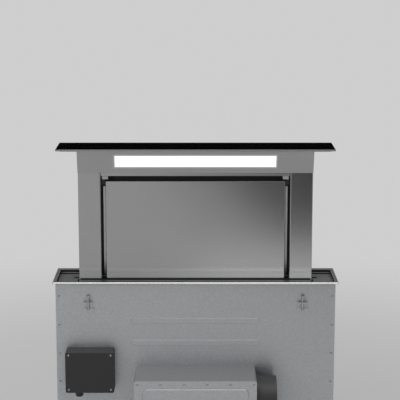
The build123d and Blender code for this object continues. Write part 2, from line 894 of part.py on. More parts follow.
with BuildPart() as rack_pinions:
    for side in (-1, 1):
        with BuildSketch(Plane.YZ.offset(side * rack_x)):
            with BuildLine():
                Polyline(*gear_points(pinion_teeth, rack_module, 0, shaft_y, shaft_z), close=True)
            make_face()
        extrude(amount=side * rack_face)
        with BuildSketch(Plane.YZ.offset(side * (rack_x - pinion_hub_reach))):
            with Locations((shaft_y, shaft_z)):
                Circle(shaft_radius + pinion_hub_wall)
        extrude(amount=side * (rack_face + 2 * pinion_hub_reach))
        with BuildSketch(Plane.YZ.offset(side * (rack_x - pinion_hub_reach))):
            with Locations((shaft_y, shaft_z)):
                Circle(shaft_radius)
        extrude(amount=side * (rack_face + 2 * pinion_hub_reach), mode=Mode.SUBTRACT)
rack_pinions.part.label = "rack_pinions"
export_step(rack_pinions.part, "parts/rack_pinions.step")

# driven gear on the shaft, meshing with the motor's pinion at mesh_angle
mesh_angle = degrees(atan2(motor_z - shaft_z, motor_y - shaft_y))
with BuildPart() as shaft_gear:
    with BuildSketch(Plane.YZ.offset(gear_x)):
        with BuildLine():
            Polyline(*gear_points(gear_teeth, gear_module, mesh_angle, shaft_y, shaft_z), close=True)
        make_face()
    extrude(amount=gear_face)
    with BuildSketch(Plane.YZ.offset(gear_x + gear_face)):
        with Locations((shaft_y, shaft_z)):
            Circle(shaft_radius + gear_hub_wall)
    extrude(amount=gear_hub_length)
    with BuildSketch(Plane.YZ.offset(gear_x)):
        with Locations((shaft_y, shaft_z)):
            Circle(shaft_radius)
    extrude(amount=gear_face + gear_hub_length, mode=Mode.SUBTRACT)
shaft_gear.part.label = "shaft_gear"
export_step(shaft_gear.part, "parts/shaft_gear.step")

motor_phase = mesh_angle + 180 + 180 / motor_teeth
mount_x = gear_x - mount_gap
with BuildPart() as motor_pinion:
    with BuildSketch(Plane.YZ.offset(gear_x)):
        with BuildLine():
            Polyline(*gear_points(motor_teeth, gear_module, motor_phase, motor_y, motor_z), close=True)
        make_face()
    extrude(amount=gear_face)
    with BuildSketch(Plane.YZ.offset(mount_x - motor_shaft_depth)):
        with Locations((motor_y, motor_z)):
            Circle(motor_shaft_radius)
    extrude(amount=gear_x + gear_face + motor_shaft_tip - (mount_x - motor_shaft_depth))
motor_pinion.part.label = "motor_pinion"
export_step(motor_pinion.part, "parts/motor_pinion.step")

# gear motor beside the driven gear, on a plate fixed to the foot sheet
mount_foot = column_foot + mount_margin
mount_rear = column_rear - sheet - rib_height
mount_top = motor_z + gearbox_radius + 2 * mount_margin
motor_face = mount_x - mount_plate
with BuildPart() as motor_mount:
    with BuildSketch(Plane.YZ.offset(motor_face)):
        with BuildLine():
            Polyline(
                (column_front + sheet, mount_foot),
                (mount_rear, mount_foot),
                (mount_rear, shaft_z + mount_shoulder),
                (motor_y + gearbox_radius + mount_margin, mount_top),
                (column_front + sheet, mount_top),
                close=True,
            )
        make_face()
        with Locations((shaft_y, shaft_z)):
            Circle(shaft_radius + mount_shaft_gap, mode=Mode.SUBTRACT)
        with Locations((motor_y, motor_z)):
            Circle(motor_shaft_radius + mount_pinion_gap, mode=Mode.SUBTRACT)
    extrude(amount=mount_plate)
    with BuildSketch(Plane.XZ.offset(-(column_front + sheet))):
        with Locations((motor_face + mount_flange / 2, (mount_foot + mount_top) / 2)):
            Rectangle(mount_flange, mount_top - mount_foot)
    extrude(amount=-mount_plate)
motor_mount.part.label = "motor_mount"
export_step(motor_mount.part, "parts/motor_mount.step")

with BuildPart() as gear_motor:
    with BuildSketch(Plane.YZ.offset(motor_face)):
        with Locations((motor_y, motor_z)):
            Circle(gearbox_radius)
    extrude(amount=-gearbox_length)
    with BuildSketch(Plane.YZ.offset(motor_face - gearbox_length)):
        with Locations((motor_y, motor_z)):
            Circle(can_radius)
    extrude(amount=-can_length)
    chamfer(gear_motor.faces().sort_by(Axis.X)[0].edges(), can_chamfer)
    with BuildSketch(Plane.YZ.offset(motor_face - gearbox_length - can_length)):
        with Locations((motor_y, motor_z)):
            Circle(motor_boss_radius)
    extrude(amount=-motor_boss_length)
    with BuildSketch(Plane.YZ.offset(motor_face)):
        with Locations((motor_y, motor_z)):
            Circle(motor_shaft_radius + motor_shaft_clearance)
    extrude(amount=-motor_shaft_depth, mode=Mode.SUBTRACT)
gear_motor.part.label = "gear_motor"
export_step(gear_motor.part, "parts/gear_motor.step")

# ------------------------------------------------------------------ casing
casing_low = -casing_height
sheet_height = casing_height - casing_top
sheet_mid_z = -(casing_height + casing_top) / 2
window_radius = inlet_radius + window_gap
with BuildPart() as casing_front:
    with BuildSketch(Plane.XZ.offset(-casing_front_y)):
        with Locations((0, sheet_mid_z)):
            Rectangle(2 * (casing_half + sheet), sheet_height)
        with Locations((fan_x, fan_z)):
            Circle(window_radius, mode=Mode.SUBTRACT)
    extrude(amount=sheet)
    # pressed ribs above the blower
    with BuildSketch(Plane.XZ.offset(-casing_outer_front)):
        with Locations((0, -front_rib_top), (0, -front_rib_top - front_rib_pitch)):
            SlotOverall(front_rib_share * column_half, front_rib_width)
    extrude(amount=rib_height, taper=rib_taper)
casing_front.part.label = "casing_front"
export_step(casing_front.part, "parts/casing_front.step")

with BuildPart() as casing_back:
    with BuildSketch(Plane.XZ.offset(-casing_rear_y)):
        with Locations((0, sheet_mid_z)):
            Rectangle(2 * (casing_half + sheet), sheet_height)
    extrude(amount=-sheet)
    with BuildSketch(Plane.XZ.offset(-casing_outer_rear)):
        with Locations((0, sheet_mid_z)):
            with GridLocations(0, sheet_height / 4, 1, 3):
                SlotOverall(rear_rib_share * column_half, rear_rib_width)
    extrude(amount=-rib_height, taper=rib_taper)
casing_back.part.label = "casing_back"
export_step(casing_back.part, "parts/casing_back.step")

for side, name in ((-1, "casing_left"), (1, "casing_right")):
    with BuildPart() as casing_side:
        with BuildSketch(Plane.YZ.offset(side * casing_half)):
            with Locations((casing_mid_y, sheet_mid_z)):
                Rectangle(casing_depth, sheet_height)
            # slots for the foot bracket's bolts, and a grip slot behind the guide rail
            with Locations((casing_mid_y, casing_low + bracket_bolt_height)):
                with GridLocations(bracket_bolt_spacing, 0, 2, 1):
                    SlotOverall(bracket_slot_length, bracket_slot_width, rotation=90, mode=Mode.SUBTRACT)
            with Locations((grip_y, sheet_mid_z + sheet_height / 4)):
                SlotOverall(grip_length, grip_height, mode=Mode.SUBTRACT)
        extrude(amount=side * sheet)
    casing_side.part.label = name
    export_step(casing_side.part, f"parts/{name}.step")

with BuildPart() as casing_bottom:
    with BuildSketch(Plane.XY.offset(casing_low)):
        with Locations((0, casing_mid_y)):
            Rectangle(2 * (casing_half + sheet), casing_outer_rear - casing_outer_front)
    extrude(amount=-sheet)
    with BuildSketch(Plane.XY.offset(casing_low)):
        with Locations((0, casing_mid_y)):
            Rectangle(2 * casing_half, casing_depth)
            Rectangle(2 * (casing_half - sheet), casing_depth - 2 * sheet, mode=Mode.SUBTRACT)
    extrude(amount=tray_height)
casing_bottom.part.label = "casing_bottom"
export_step(casing_bottom.part, "parts/casing_bottom.step")

rail_low = casing_low + tray_height
rail_high = -collar_height
rack_low = shaft_z - lift_travel - 2 * pi * rack_module
rack_high = shaft_z + 2 * pi * rack_module
with BuildPart() as guide_rails:
    for side in (-1, 1):
        with BuildSketch(Plane.XY.offset(rail_low)):
            with Locations((side * (rail_inner + casing_half) / 2, rail_y)):
                Rectangle(rail_depth, rail_width)
        extrude(amount=rail_high - rail_low)
    upright = guide_rails.edges().filter_by(Axis.Z)
    fillet(upright.sort_by(lambda edge: abs(edge.center().X))[:4], rail_round)
guide_rails.part.label = "guide_rails"
export_step(guide_rails.part, "parts/guide_rails.step")

with BuildPart() as lift_racks:
    for side in (-1, 1):
        with BuildSketch(Plane.YZ.offset(side * rack_x)):
            with BuildLine():
                Polyline(*rack_points(rack_low, rack_high, shaft_z), close=True)
            make_face()
        extrude(amount=side * rack_face)
lift_racks.part.label = "lift_racks"
export_step(lift_racks.part, "parts/lift_racks.step")

# limit switches beside the right rail, at both ends of the travel
switch_x = casing_half - switch_reach
switch_face = switch_y - switch_width / 2
with BuildPart() as limit_switches:
    for level in (-collar_height - switch_drop, column_foot - lift_travel + switch_rise):
        with BuildSketch(Plane.XY.offset(level)):
            with Locations(((switch_x + casing_half) / 2, switch_y)):
                Rectangle(casing_half - switch_x, switch_width)
        extrude(amount=switch_height)
        with BuildSketch(Plane.YZ.offset(switch_x + lever_inset)):
            with BuildLine():
                Polyline(
                    (switch_face, level + 0.1 * switch_height),
                    (switch_face - lever_reach, level + 0.9 * switch_height),
                    (switch_face - lever_reach + lever_thickness, level + 0.9 * switch_height),
                    (switch_face, level + 0.3 * switch_height),
                    close=True,
                )
            make_face()
        extrude(amount=lever_width)
limit_switches.part.label = "limit_switches"
export_step(limit_switches.part, "parts/limit_switches.step")

# foot brackets: a leg up the casing's side and a long foot turned in under it
for side, name in ((-1, "left_foot"), (1, "right_foot")):
    with BuildPart() as foot:
        leg_x = casing_half + sheet
        leg_low = casing_low - foot_height
        foot_mid_x = leg_x + foot_plate - foot_width / 2
        with BuildSketch(Plane.YZ.offset(side * leg_x)):
            with BuildLine():
                Polyline(
                    (-foot_front, leg_low),
                    (casing_outer_rear, leg_low),
                    (casing_outer_rear, leg_low + bracket_height),
                    (casing_outer_front, leg_low + bracket_height),
                    (-foot_front, leg_low + foot_toe),
                    close=True,
                )
            make_face()
            with Locations((casing_mid_y, casing_low + bracket_bolt_height)):
                with GridLocations(bracket_bolt_spacing, 0, 2, 1):
                    Circle(bracket_bolt_radius, mode=Mode.SUBTRACT)
        extrude(amount=side * foot_plate)
        with BuildSketch(Plane.XY.offset(leg_low)):
            with Locations((side * foot_mid_x, (casing_outer_rear - foot_front) / 2)):
                Rectangle(foot_width, casing_outer_rear + foot_front)
                with GridLocations(0, foot_hole_spacing, 1, 2):
                    Circle(foot_hole / 2, mode=Mode.SUBTRACT)
        extrude(amount=foot_plate)
    foot.part.label = name
    export_step(foot.part, f"parts/{name}.step")

# clamps that press up under the worktop, two at the front and two at the back
clamp_x = casing_half - clamp_end_gap
with BuildPart() as worktop_clamps:
    for wall, outward in ((casing_outer_front, -1), (casing_outer_rear, 1)):
        for side in (-1, 1):
            with BuildSketch(Plane.XY.offset(clamp_level)):
                with Locations((side * clamp_x, wall + outward * clamp_reach / 2)):
                    Rectangle(clamp_width, clamp_reach)
                    Circle(clamp_screw, mode=Mode.SUBTRACT)
            extrude(amount=clamp_plate)
            with BuildSketch(Plane.XY.offset(clamp_level - clamp_leg)):
                with Locations((side * clamp_x, wall + outward * clamp_plate / 2)):
                    Rectangle(clamp_width, clamp_plate)
            extrude(amount=clamp_leg)
worktop_clamps.part.label = "worktop_clamps"
export_step(worktop_clamps.part, "parts/worktop_clamps.step")

with BuildPart() as clamp_screws:
    for wall, outward in ((casing_outer_front, -1), (casing_outer_rear, 1)):
        for side in (-1, 1):
            with BuildSketch(Plane.XY.offset(clamp_level - clamp_screw_tail)):
                with Locations((side * clamp_x, wall + outward * clamp_reach / 2)):
                    Circle(clamp_screw)
            extrude(amount=clamp_screw_tail - clamp_level - worktop_thickness - clamp_plate)
            with BuildSketch(Plane.XY.offset(-worktop_thickness - clamp_plate)):
                with Locations((side * clamp_x, wall + outward * clamp_reach / 2)):
                    Circle(2 * clamp_screw)
            extrude(amount=clamp_plate)
            with BuildSketch(Plane.XY.offset(clamp_level - clamp_nut_height)):
                with Locations((side * clamp_x, wall + outward * clamp_reach / 2)):
                    RegularPolygon(clamp_nut_radius, 6)
            extrude(amount=clamp_nut_height)
clamp_screws.part.label = "clamp_screws"
export_step(clamp_screws.part, "parts/clamp_screws.step")

# ------------------------------------------------------------------ blower
box_mid_z = -blower_low + blower_height / 2
with BuildPart() as blower_box:
    with BuildSketch(Plane.XZ.offset(-casing_outer_front)):
        with Locations((0, box_mid_z)):
            RectangleRounded(blower_width, blower_height, blower_corner)
            RectangleRounded(
                blower_width - 2 * thin_sheet,
                blower_height - 2 * thin_sheet,
                blower_corner - thin_sheet,
                mode=Mode.SUBTRACT,
            )
    extrude(amount=blower_depth)
    with BuildSketch(Plane.YZ):
        with Locations((duct_y, duct_z)):
            Circle(duct_radius + duct_root)
    extrude(amount=blower_width, mode=Mode.SUBTRACT)
blower_box.part.label = "blower_box"
export_step(blower_box.part, "parts/blower_box.step")

with BuildPart() as blower_cover:
    with BuildSketch(Plane.XZ.offset(-blower_front)):
        with Locations((0, box_mid_z)):
            RectangleRounded(blower_width, blower_height, blower_corner)
    extrude(amount=thin_sheet)
    with BuildSketch(Plane.XZ.offset(thin_sheet - blower_front)):
        with Locations((0, box_mid_z)):
            RectangleRounded(
                blower_width - 2 * cover_margin,
                blower_height - 2 * cover_margin,
                cover_emboss_corner,
            )
    extrude(amount=cover_emboss, taper=rib_taper)
blower_cover.part.label = "blower_cover"
export_step(blower_cover.part, "parts/blower_cover.step")

# bell-mouthed inlet ring on the casing's window
with BuildPart() as inlet_ring:
    with BuildSketch(Plane.XY.offset(fan_z)):
        with BuildLine():
            Polyline(
                (fan_x + window_radius + ring_flange, casing_outer_front),
                (fan_x + window_radius + ring_flange, casing_outer_front - sheet),
                (fan_x + inlet_radius, casing_outer_front - sheet),
                (fan_x + inlet_radius - bell_depth, casing_outer_front - sheet - bell_depth),
                (fan_x + inlet_radius - bell_depth - sheet, casing_outer_front - sheet - bell_depth),
                (fan_x + inlet_radius - bell_step, casing_outer_front),
                close=True,
            )
        make_face()
    revolve(axis=Axis((fan_x, 0, fan_z), (0, 1, 0)))
inlet_ring.part.label = "inlet_ring"
export_step(inlet_ring.part, "parts/inlet_ring.step")

# spiral housing of the fan, closed at the front, with a straight mouth at its top right
scroll_rear = casing_outer_front
scroll_front = wheel_front - fan_gap
mouth_radius = impeller_radius + fan_gap + scroll_growth
mouth_top = fan_z + mouth_radius


def spiral(turn, grow=0):
    """Point on the fan housing's spiral, turn degrees round from the top of the mouth."""
    radius = mouth_radius - scroll_growth * turn / 360 + grow
    angle = radians(90 + turn)
    return (fan_x + radius * cos(angle), fan_z + radius * sin(angle))


mouth_low = spiral(tongue_turn)[1]
with BuildPart() as fan_scroll:
    for grow, mode in ((scroll_wall, Mode.ADD), (0, Mode.SUBTRACT)):
        with BuildSketch(Plane.XZ.offset(-scroll_rear)):
            with BuildLine():
                Spline(*[spiral(turn, grow) for turn in range(0, tongue_turn + 1, 40)])
                Polyline(spiral(tongue_turn, grow), (fan_x, mouth_low), spiral(0, grow))
            make_face()
            with Locations(((fan_x + mouth_x) / 2, (mouth_low + mouth_top) / 2)):
                Rectangle(mouth_x - fan_x, mouth_top - mouth_low + 2 * grow)
        extrude(amount=scroll_rear - scroll_front + grow, mode=mode)
    # the motor's hub reaches through the front wall
    with BuildSketch(Plane.XZ.offset(-scroll_front)):
        with Locations((fan_x, fan_z)):
            Circle(motor_hub_radius + hub_gap)
    extrude(amount=scroll_wall, mode=Mode.SUBTRACT)
fan_scroll.part.label = "fan_scroll"
export_step(fan_scroll.part, "parts/fan_scroll.step")

# duct piece from the mouth's rectangle to the round collar
duct_start = mouth_x
duct_end = blower_width / 2 - thin_sheet
with BuildPart() as outlet_transition:
    for wall, mode in ((scroll_wall, Mode.ADD), (0, Mode.SUBTRACT)):
        rear = scroll_rear - scroll_wall + wall
        radius = duct_radius if wall else duct_radius - duct_wall
        with BuildSketch(Plane.YZ.offset(duct_start)):
            with Locations(((rear + scroll_front - wall) / 2, (mouth_low + mouth_top) / 2)):
                Rectangle(rear - scroll_front + wall, mouth_top - mouth_low + 2 * wall)
        with BuildSketch(Plane.YZ.offset(duct_end)):
            with Locations((duct_y, duct_z)):
                Circle(radius)
        loft(mode=mode)
outlet_transition.part.label = "outlet_transition"
export_step(outlet_transition.part, "parts/outlet_transition.step")

flap_x = blower_width / 2 + flap_inset
flap_pin_reach = duct_radius - duct_wall / 2

# round collar on the box's right wall: a square flange, a thicker root and the spigot that the duct fits over
collar_end = duct_end + thin_sheet + duct_length
spigot_x = collar_end - duct_spigot
with BuildPart() as outlet_collar:
    with BuildSketch(Plane.YZ.offset(blower_width / 2)):
        with Locations((duct_y, duct_z)):
            RectangleRounded(blower_depth - 2 * flange_gap, 2 * (duct_radius + flange_margin), flange_corner)
    extrude(amount=sheet)
    with BuildSketch(Plane.YZ.offset(duct_end)):
        with Locations((duct_y, duct_z)):
            Circle(duct_radius + duct_root)
    extrude(amount=spigot_x - duct_lead - duct_end)
    with BuildSketch(Plane.YZ.offset(spigot_x - duct_lead)):
        with Locations((duct_y, duct_z)):
            Circle(duct_radius + duct_root)
    with BuildSketch(Plane.YZ.offset(spigot_x)):
        with Locations((duct_y, duct_z)):
            Circle(duct_radius)
    loft()
    with BuildSketch(Plane.YZ.offset(spigot_x)):
        with Locations((duct_y, duct_z)):
            Circle(duct_radius)
    extrude(amount=duct_spigot)
    with BuildSketch(Plane.YZ.offset(duct_end)):
        with Locations((duct_y, duct_z)):
            Circle(duct_radius - duct_wall)
    extrude(amount=duct_length + thin_sheet, mode=Mode.SUBTRACT)
    with BuildSketch(Plane.XY.offset(duct_z - flap_pin_reach)):
        with Locations((flap_x, duct_y)):
            Circle(flap_pin_radius)
    extrude(amount=2 * flap_pin_reach, mode=Mode.SUBTRACT)
outlet_collar.part.label = "outlet_collar"
export_step(outlet_collar.part, "parts/outlet_collar.step")

# check flaps: two half discs on one upright pin across the collar
flap_radius = duct_radius - duct_wall - flap_clearance
knuckle_radius = flap_pin_radius + knuckle_wall
with BuildPart() as flap_pin:
    with BuildSketch(Plane.XY.offset(duct_z - flap_pin_reach)):
        with Locations((flap_x, duct_y)):
            Circle(flap_pin_radius)
    extrude(amount=2 * flap_pin_reach)
flap_pin.part.label = "flap_pin"
export_step(flap_pin.part, "parts/flap_pin.step")

for side, name in ((-1, "front_flap"), (1, "rear_flap")):
    knuckle_low = duct_z + (knuckle_gap if side > 0 else -knuckle_gap - knuckle_length)
    with BuildPart() as flap:
        with BuildSketch(Plane.YZ.offset(flap_x - flap_thickness / 2)):
            with Locations((duct_y, duct_z)):
                Circle(flap_radius)
            with Locations((duct_y - side * flap_radius / 2 + side * (knuckle_radius + flap_slit), duct_z)):
                Rectangle(flap_radius, 2 * duct_radius, mode=Mode.SUBTRACT)
            with Locations((duct_y - side * duct_radius, duct_z)):
                Rectangle(2 * duct_radius, 2 * duct_radius, mode=Mode.SUBTRACT)
            with Locations((duct_y + side * knuckle_tab / 2, knuckle_low + knuckle_length / 2)):
                Rectangle(knuckle_tab, knuckle_length)
        extrude(amount=flap_thickness)
        with BuildSketch(Plane.XY.offset(knuckle_low)):
            with Locations((flap_x, duct_y)):
                Circle(knuckle_radius)
        extrude(amount=knuckle_length)
        with BuildSketch(Plane.XY.offset(knuckle_low)):
            with Locations((flap_x, duct_y)):
                Circle(flap_pin_radius + shaft_clearance)
        extrude(amount=knuckle_length, mode=Mode.SUBTRACT)
    flap.part.label = name
    export_step(flap.part, f"parts/{name}.step")

# fan wheel: back plate and hub towards the motor, forward-curved blades, and a shroud ring
blade_inner = impeller_radius - blade_depth
blade_stations = (
    (blade_inner + blade_root_gap, 0),
    ((blade_inner + impeller_radius) / 2, blade_middle_lag),
    (impeller_radius - blade_tip_gap, blade_tip_lag),
)
with BuildPart() as impeller:
    with BuildSketch(Plane.XZ.offset(-wheel_front)):
        with Locations((fan_x, fan_z)):
            Circle(impeller_radius)
    extrude(amount=-wheel_plate)
    with BuildSketch(Plane.XZ.offset(-wheel_front)):
        with Locations((fan_x, fan_z)):
            Circle(motor_hub_radius + wheel_hub_wall)
    extrude(amount=-wheel_hub_length, taper=wheel_hub_taper)
    with BuildSketch(Plane.XZ.offset(-wheel_rear)):
        with Locations((fan_x, fan_z)):
            Circle(impeller_radius)
            Circle(blade_inner, mode=Mode.SUBTRACT)
    extrude(amount=wheel_plate)
    for blade in range(impeller_blades):
        turn = 2 * pi * blade / impeller_blades
        with BuildSketch(Plane.XZ.offset(-wheel_rear)):
            with BuildLine():
                edge = []
                for grow in (0, blade_thickness):
                    for radius, lag in blade_stations:
                        angle = turn - radians(lag) + grow / radius
                        edge.append((fan_x + radius * cos(angle), fan_z + radius * sin(angle)))
                hollow = ThreePointArc(edge[0], edge[1], edge[2])
                back = ThreePointArc(edge[3], edge[4], edge[5])
                Line(hollow @ 0, back @ 0)
                Line(hollow @ 1, back @ 1)
            make_face()
        extrude(amount=impeller_width)
    with BuildSketch(Plane.XZ.offset(-wheel_front)):
        with Locations((fan_x, fan_z)):
            Circle(motor_shaft_radius)
    extrude(amount=-wheel_bore_length, mode=Mode.SUBTRACT)
impeller.part.label = "impeller"
export_step(impeller.part, "parts/impeller.step")

with BuildPart() as fan_motor:
    with BuildSketch(Plane.XZ.offset(scroll_wall - scroll_front)):
        with Locations((fan_x, fan_z)):
            Circle(motor_radius)
            with PolarLocations(motor_radius + motor_lug_reach, motor_lugs):
                Circle(motor_lug_radius)
    extrude(amount=motor_flange)
    with BuildSketch(Plane.XZ.offset(scroll_wall + motor_flange - scroll_front)):
        with Locations((fan_x, fan_z)):
            Circle(motor_radius)
    extrude(amount=motor_length - motor_flange)
    chamfer(fan_motor.faces().sort_by(Axis.Y)[0].edges(), motor_chamfer)
    with BuildSketch(Plane.XZ.offset(scroll_wall - scroll_front)):
        with Locations((fan_x, fan_z)):
            Circle(motor_hub_radius)
    extrude(amount=-(scroll_wall + motor_hub_reach))
    with BuildSketch(Plane.XZ.offset(-scroll_front)):
        with Locations((fan_x, fan_z)):
            Circle(motor_shaft_radius - shaft_clearance)
    extrude(amount=-(fan_gap + fan_shaft_reach))
fan_motor.part.label = "fan_motor"
export_step(fan_motor.part, "parts/fan_motor.step")

# ------------------------------------------------------------------ control box
box_x = box_end_gap - casing_half
box_floor = casing_outer_front - box_wall
board_back = box_floor - post_height
gland_x = box_x - gland_offset
gland_y = casing_outer_front - box_depth / 2
with BuildPart() as control_box:
    with BuildSketch(Plane.XZ.offset(-casing_outer_front)):
        with Locations((box_x, box_z)):
            RectangleRounded(box_width, box_height, box_corner)
    extrude(amount=box_depth)
    with BuildSketch(Plane.XZ.offset(-box_floor)):
        with Locations((box_x, box_z)):
            RectangleRounded(box_width - 2 * box_wall, box_height - 2 * box_wall, box_corner - box_wall)
    extrude(amount=box_depth, mode=Mode.SUBTRACT)
    with BuildSketch(Plane.XY.offset(box_z - box_height / 2)):
        with Locations((gland_x, gland_y)):
            Circle(gland_thread)
    extrude(amount=2 * box_wall, mode=Mode.SUBTRACT)
    with BuildSketch(Plane.XZ.offset(-box_floor)):
        with Locations((box_x, box_z)):
            with GridLocations(box_width - 2 * post_margin_x, box_height - 2 * post_margin_z, 2, 2):
                Circle(post_radius)
    extrude(amount=post_height)
control_box.part.label = "control_box"
export_step(control_box.part, "parts/control_box.step")

with BuildPart() as control_board:
    with BuildSketch(Plane.XZ.offset(-board_back)):
        with Locations((box_x, box_z)):
            Rectangle(box_width - 2 * control_margin_x, box_height - 2 * control_margin_z)
    extrude(amount=board_thickness)
    with BuildSketch(Plane.XZ.offset(board_thickness - board_back)):
        for part_x, part_z, part_width, part_height in control_parts:
            with Locations((box_x + part_x, box_z + part_z)):
                Rectangle(part_width, part_height)
    extrude(amount=control_part_height)
control_board.part.label = "control_board"
export_step(control_board.part, "parts/control_board.step")

with BuildPart() as control_cover:
    with BuildSketch(Plane.XZ.offset(box_depth - casing_outer_front)):
        with Locations((box_x, box_z)):
            RectangleRounded(box_width, box_height, box_corner)
    extrude(amount=box_cover)
    chamfer(control_cover.faces().sort_by(Axis.Y)[0].edges(), box_cover_chamfer)
control_cover.part.label = "control_cover"
export_step(control_cover.part, "parts/control_cover.step")

gland_low = box_z - box_height / 2
gland_high = gland_low + box_wall + gland_inside
with BuildPart() as cable_gland:
    with BuildSketch(Plane.XY.offset(gland_high)):
        with Locations((gland_x, gland_y)):
            Circle(gland_thread)
    extrude(amount=gland_low - gland_high)
    with BuildSketch(Plane.XY.offset(gland_low)):
        with Locations((gland_x, gland_y)):
            RegularPolygon(gland_nut_radius, 6)
    extrude(amount=-gland_nut_height)
    with BuildSketch(Plane.XY.offset(gland_low - gland_nut_height)):
        with Locations((gland_x, gland_y)):
            Circle(gland_cap_radius)
    extrude(amount=-gland_cap_length)
    chamfer(cable_gland.faces().sort_by(Axis.Z)[0].edges(), gland_cap_chamfer)
    with BuildSketch(Plane.XY.offset(gland_high)):
        with Locations((gland_x, gland_y)):
            Circle(gland_bore)
    extrude(amount=gland_low - gland_high - gland_nut_height - gland_cap_length, mode=Mode.SUBTRACT)
cable_gland.part.label = "cable_gland"
export_step(cable_gland.part, "parts/cable_gland.step")
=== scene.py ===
"""Finishes, fasteners and studio for a kitchen downdraft vent, dressed on its packed solid model."""

import math

import bmesh
import bpy
from bpy.props import FloatProperty, FloatVectorProperty, IntProperty, PointerProperty
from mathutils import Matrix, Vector


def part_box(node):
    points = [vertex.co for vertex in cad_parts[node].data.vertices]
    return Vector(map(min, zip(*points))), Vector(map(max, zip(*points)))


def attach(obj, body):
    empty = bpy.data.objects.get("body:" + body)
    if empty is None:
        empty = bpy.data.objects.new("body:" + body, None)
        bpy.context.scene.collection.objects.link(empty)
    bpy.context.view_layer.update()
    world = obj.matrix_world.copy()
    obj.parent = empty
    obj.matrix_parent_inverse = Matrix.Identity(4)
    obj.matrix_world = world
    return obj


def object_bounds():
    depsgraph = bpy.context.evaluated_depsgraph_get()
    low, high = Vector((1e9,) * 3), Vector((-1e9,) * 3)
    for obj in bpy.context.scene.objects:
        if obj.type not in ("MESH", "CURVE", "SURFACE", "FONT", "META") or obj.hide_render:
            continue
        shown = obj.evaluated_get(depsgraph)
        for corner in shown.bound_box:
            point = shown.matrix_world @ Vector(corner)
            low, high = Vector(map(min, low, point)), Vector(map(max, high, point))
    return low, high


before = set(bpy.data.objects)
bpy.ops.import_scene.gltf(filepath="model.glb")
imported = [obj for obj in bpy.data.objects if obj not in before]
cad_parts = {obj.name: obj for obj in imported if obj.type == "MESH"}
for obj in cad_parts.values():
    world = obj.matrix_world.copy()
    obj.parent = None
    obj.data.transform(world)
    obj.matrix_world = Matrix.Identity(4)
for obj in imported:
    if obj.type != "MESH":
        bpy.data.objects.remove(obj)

bl_info = {
    "name": "Downdraft Vent Dressing",
    "version": (1, 0, 0),
    "blender": (4, 5, 0),
    "location": "3D View > Sidebar > Vent",
    "description": "Finishes, fasteners, trims and a studio for a worktop downdraft vent",
    "category": "Object",
}

SOLID_LOW, SOLID_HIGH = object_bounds()

# how much brushing is squeezed along X, Y and Z: little along its streaks, much across them
ACROSS = (1.5, 1500.0, 1500.0)
UPRIGHT = (1500.0, 1500.0, 1.5)
TURNED = (3.0, 1500.0, 1500.0)
EVEN = (400.0, 400.0, 400.0)
# broad streaks against fine ones
BROAD = (0.4, 0.4, 0.4)

# sheet thicknesses of the solids, and the usual distance from a sheet's edge to its screws, in metres
SHEET = 0.0015
THIN_SHEET = 0.0012
INSET = 0.010

FRONT, REAR, LEFT, RIGHT = (0, -1, 0), (0, 1, 0), (-1, 0, 0), (1, 0, 0)

# reflection cards stand this far in front of the frame's middle; their corners are across and up, in metres
CARD_DEPTH = 2.0
DARK_CARD = [(0.03, 0.36), (0.08, 0.05), (0.30, -0.24), (0.50, -0.36), (1.9, -0.40), (1.9, 0.36)]
DIM_CARD = [
    (-0.16, 0.36), (-0.14, 0.02), (0.02, -0.30), (0.30, -0.36),
    (0.50, -0.36), (0.30, -0.24), (0.08, 0.05), (0.03, 0.36),
]
PALE_CARD = [(0.0, -0.63), (1.3, -0.63), (1.3, -0.41), (0.5, -0.37), (0.30, -0.36), (0.0, -0.42)]

# where the room changes, as a direction's Z: above eye level and above the dark band; and, as its Y, from
# front to rear
EYE_LEVEL = (0.095, 0.120)
BAND_TOP = (0.185, 0.225)
ROOM_TURN = (-0.3, 0.3)
FLOOR_HALF = 30.0
FLOOR_FADE = (0.9, 3.2)


def colour_prop(name, description, default):
    """A colour that a user can change."""
    return FloatVectorProperty(
        name=name, description=description, default=default, subtype="COLOR", size=3, min=0.0, max=1.0
    )


def length_prop(name, description, default):
    """A length in metres that a user can change."""
    return FloatProperty(name=name, description=description, default=default, min=0.0, subtype="DISTANCE")


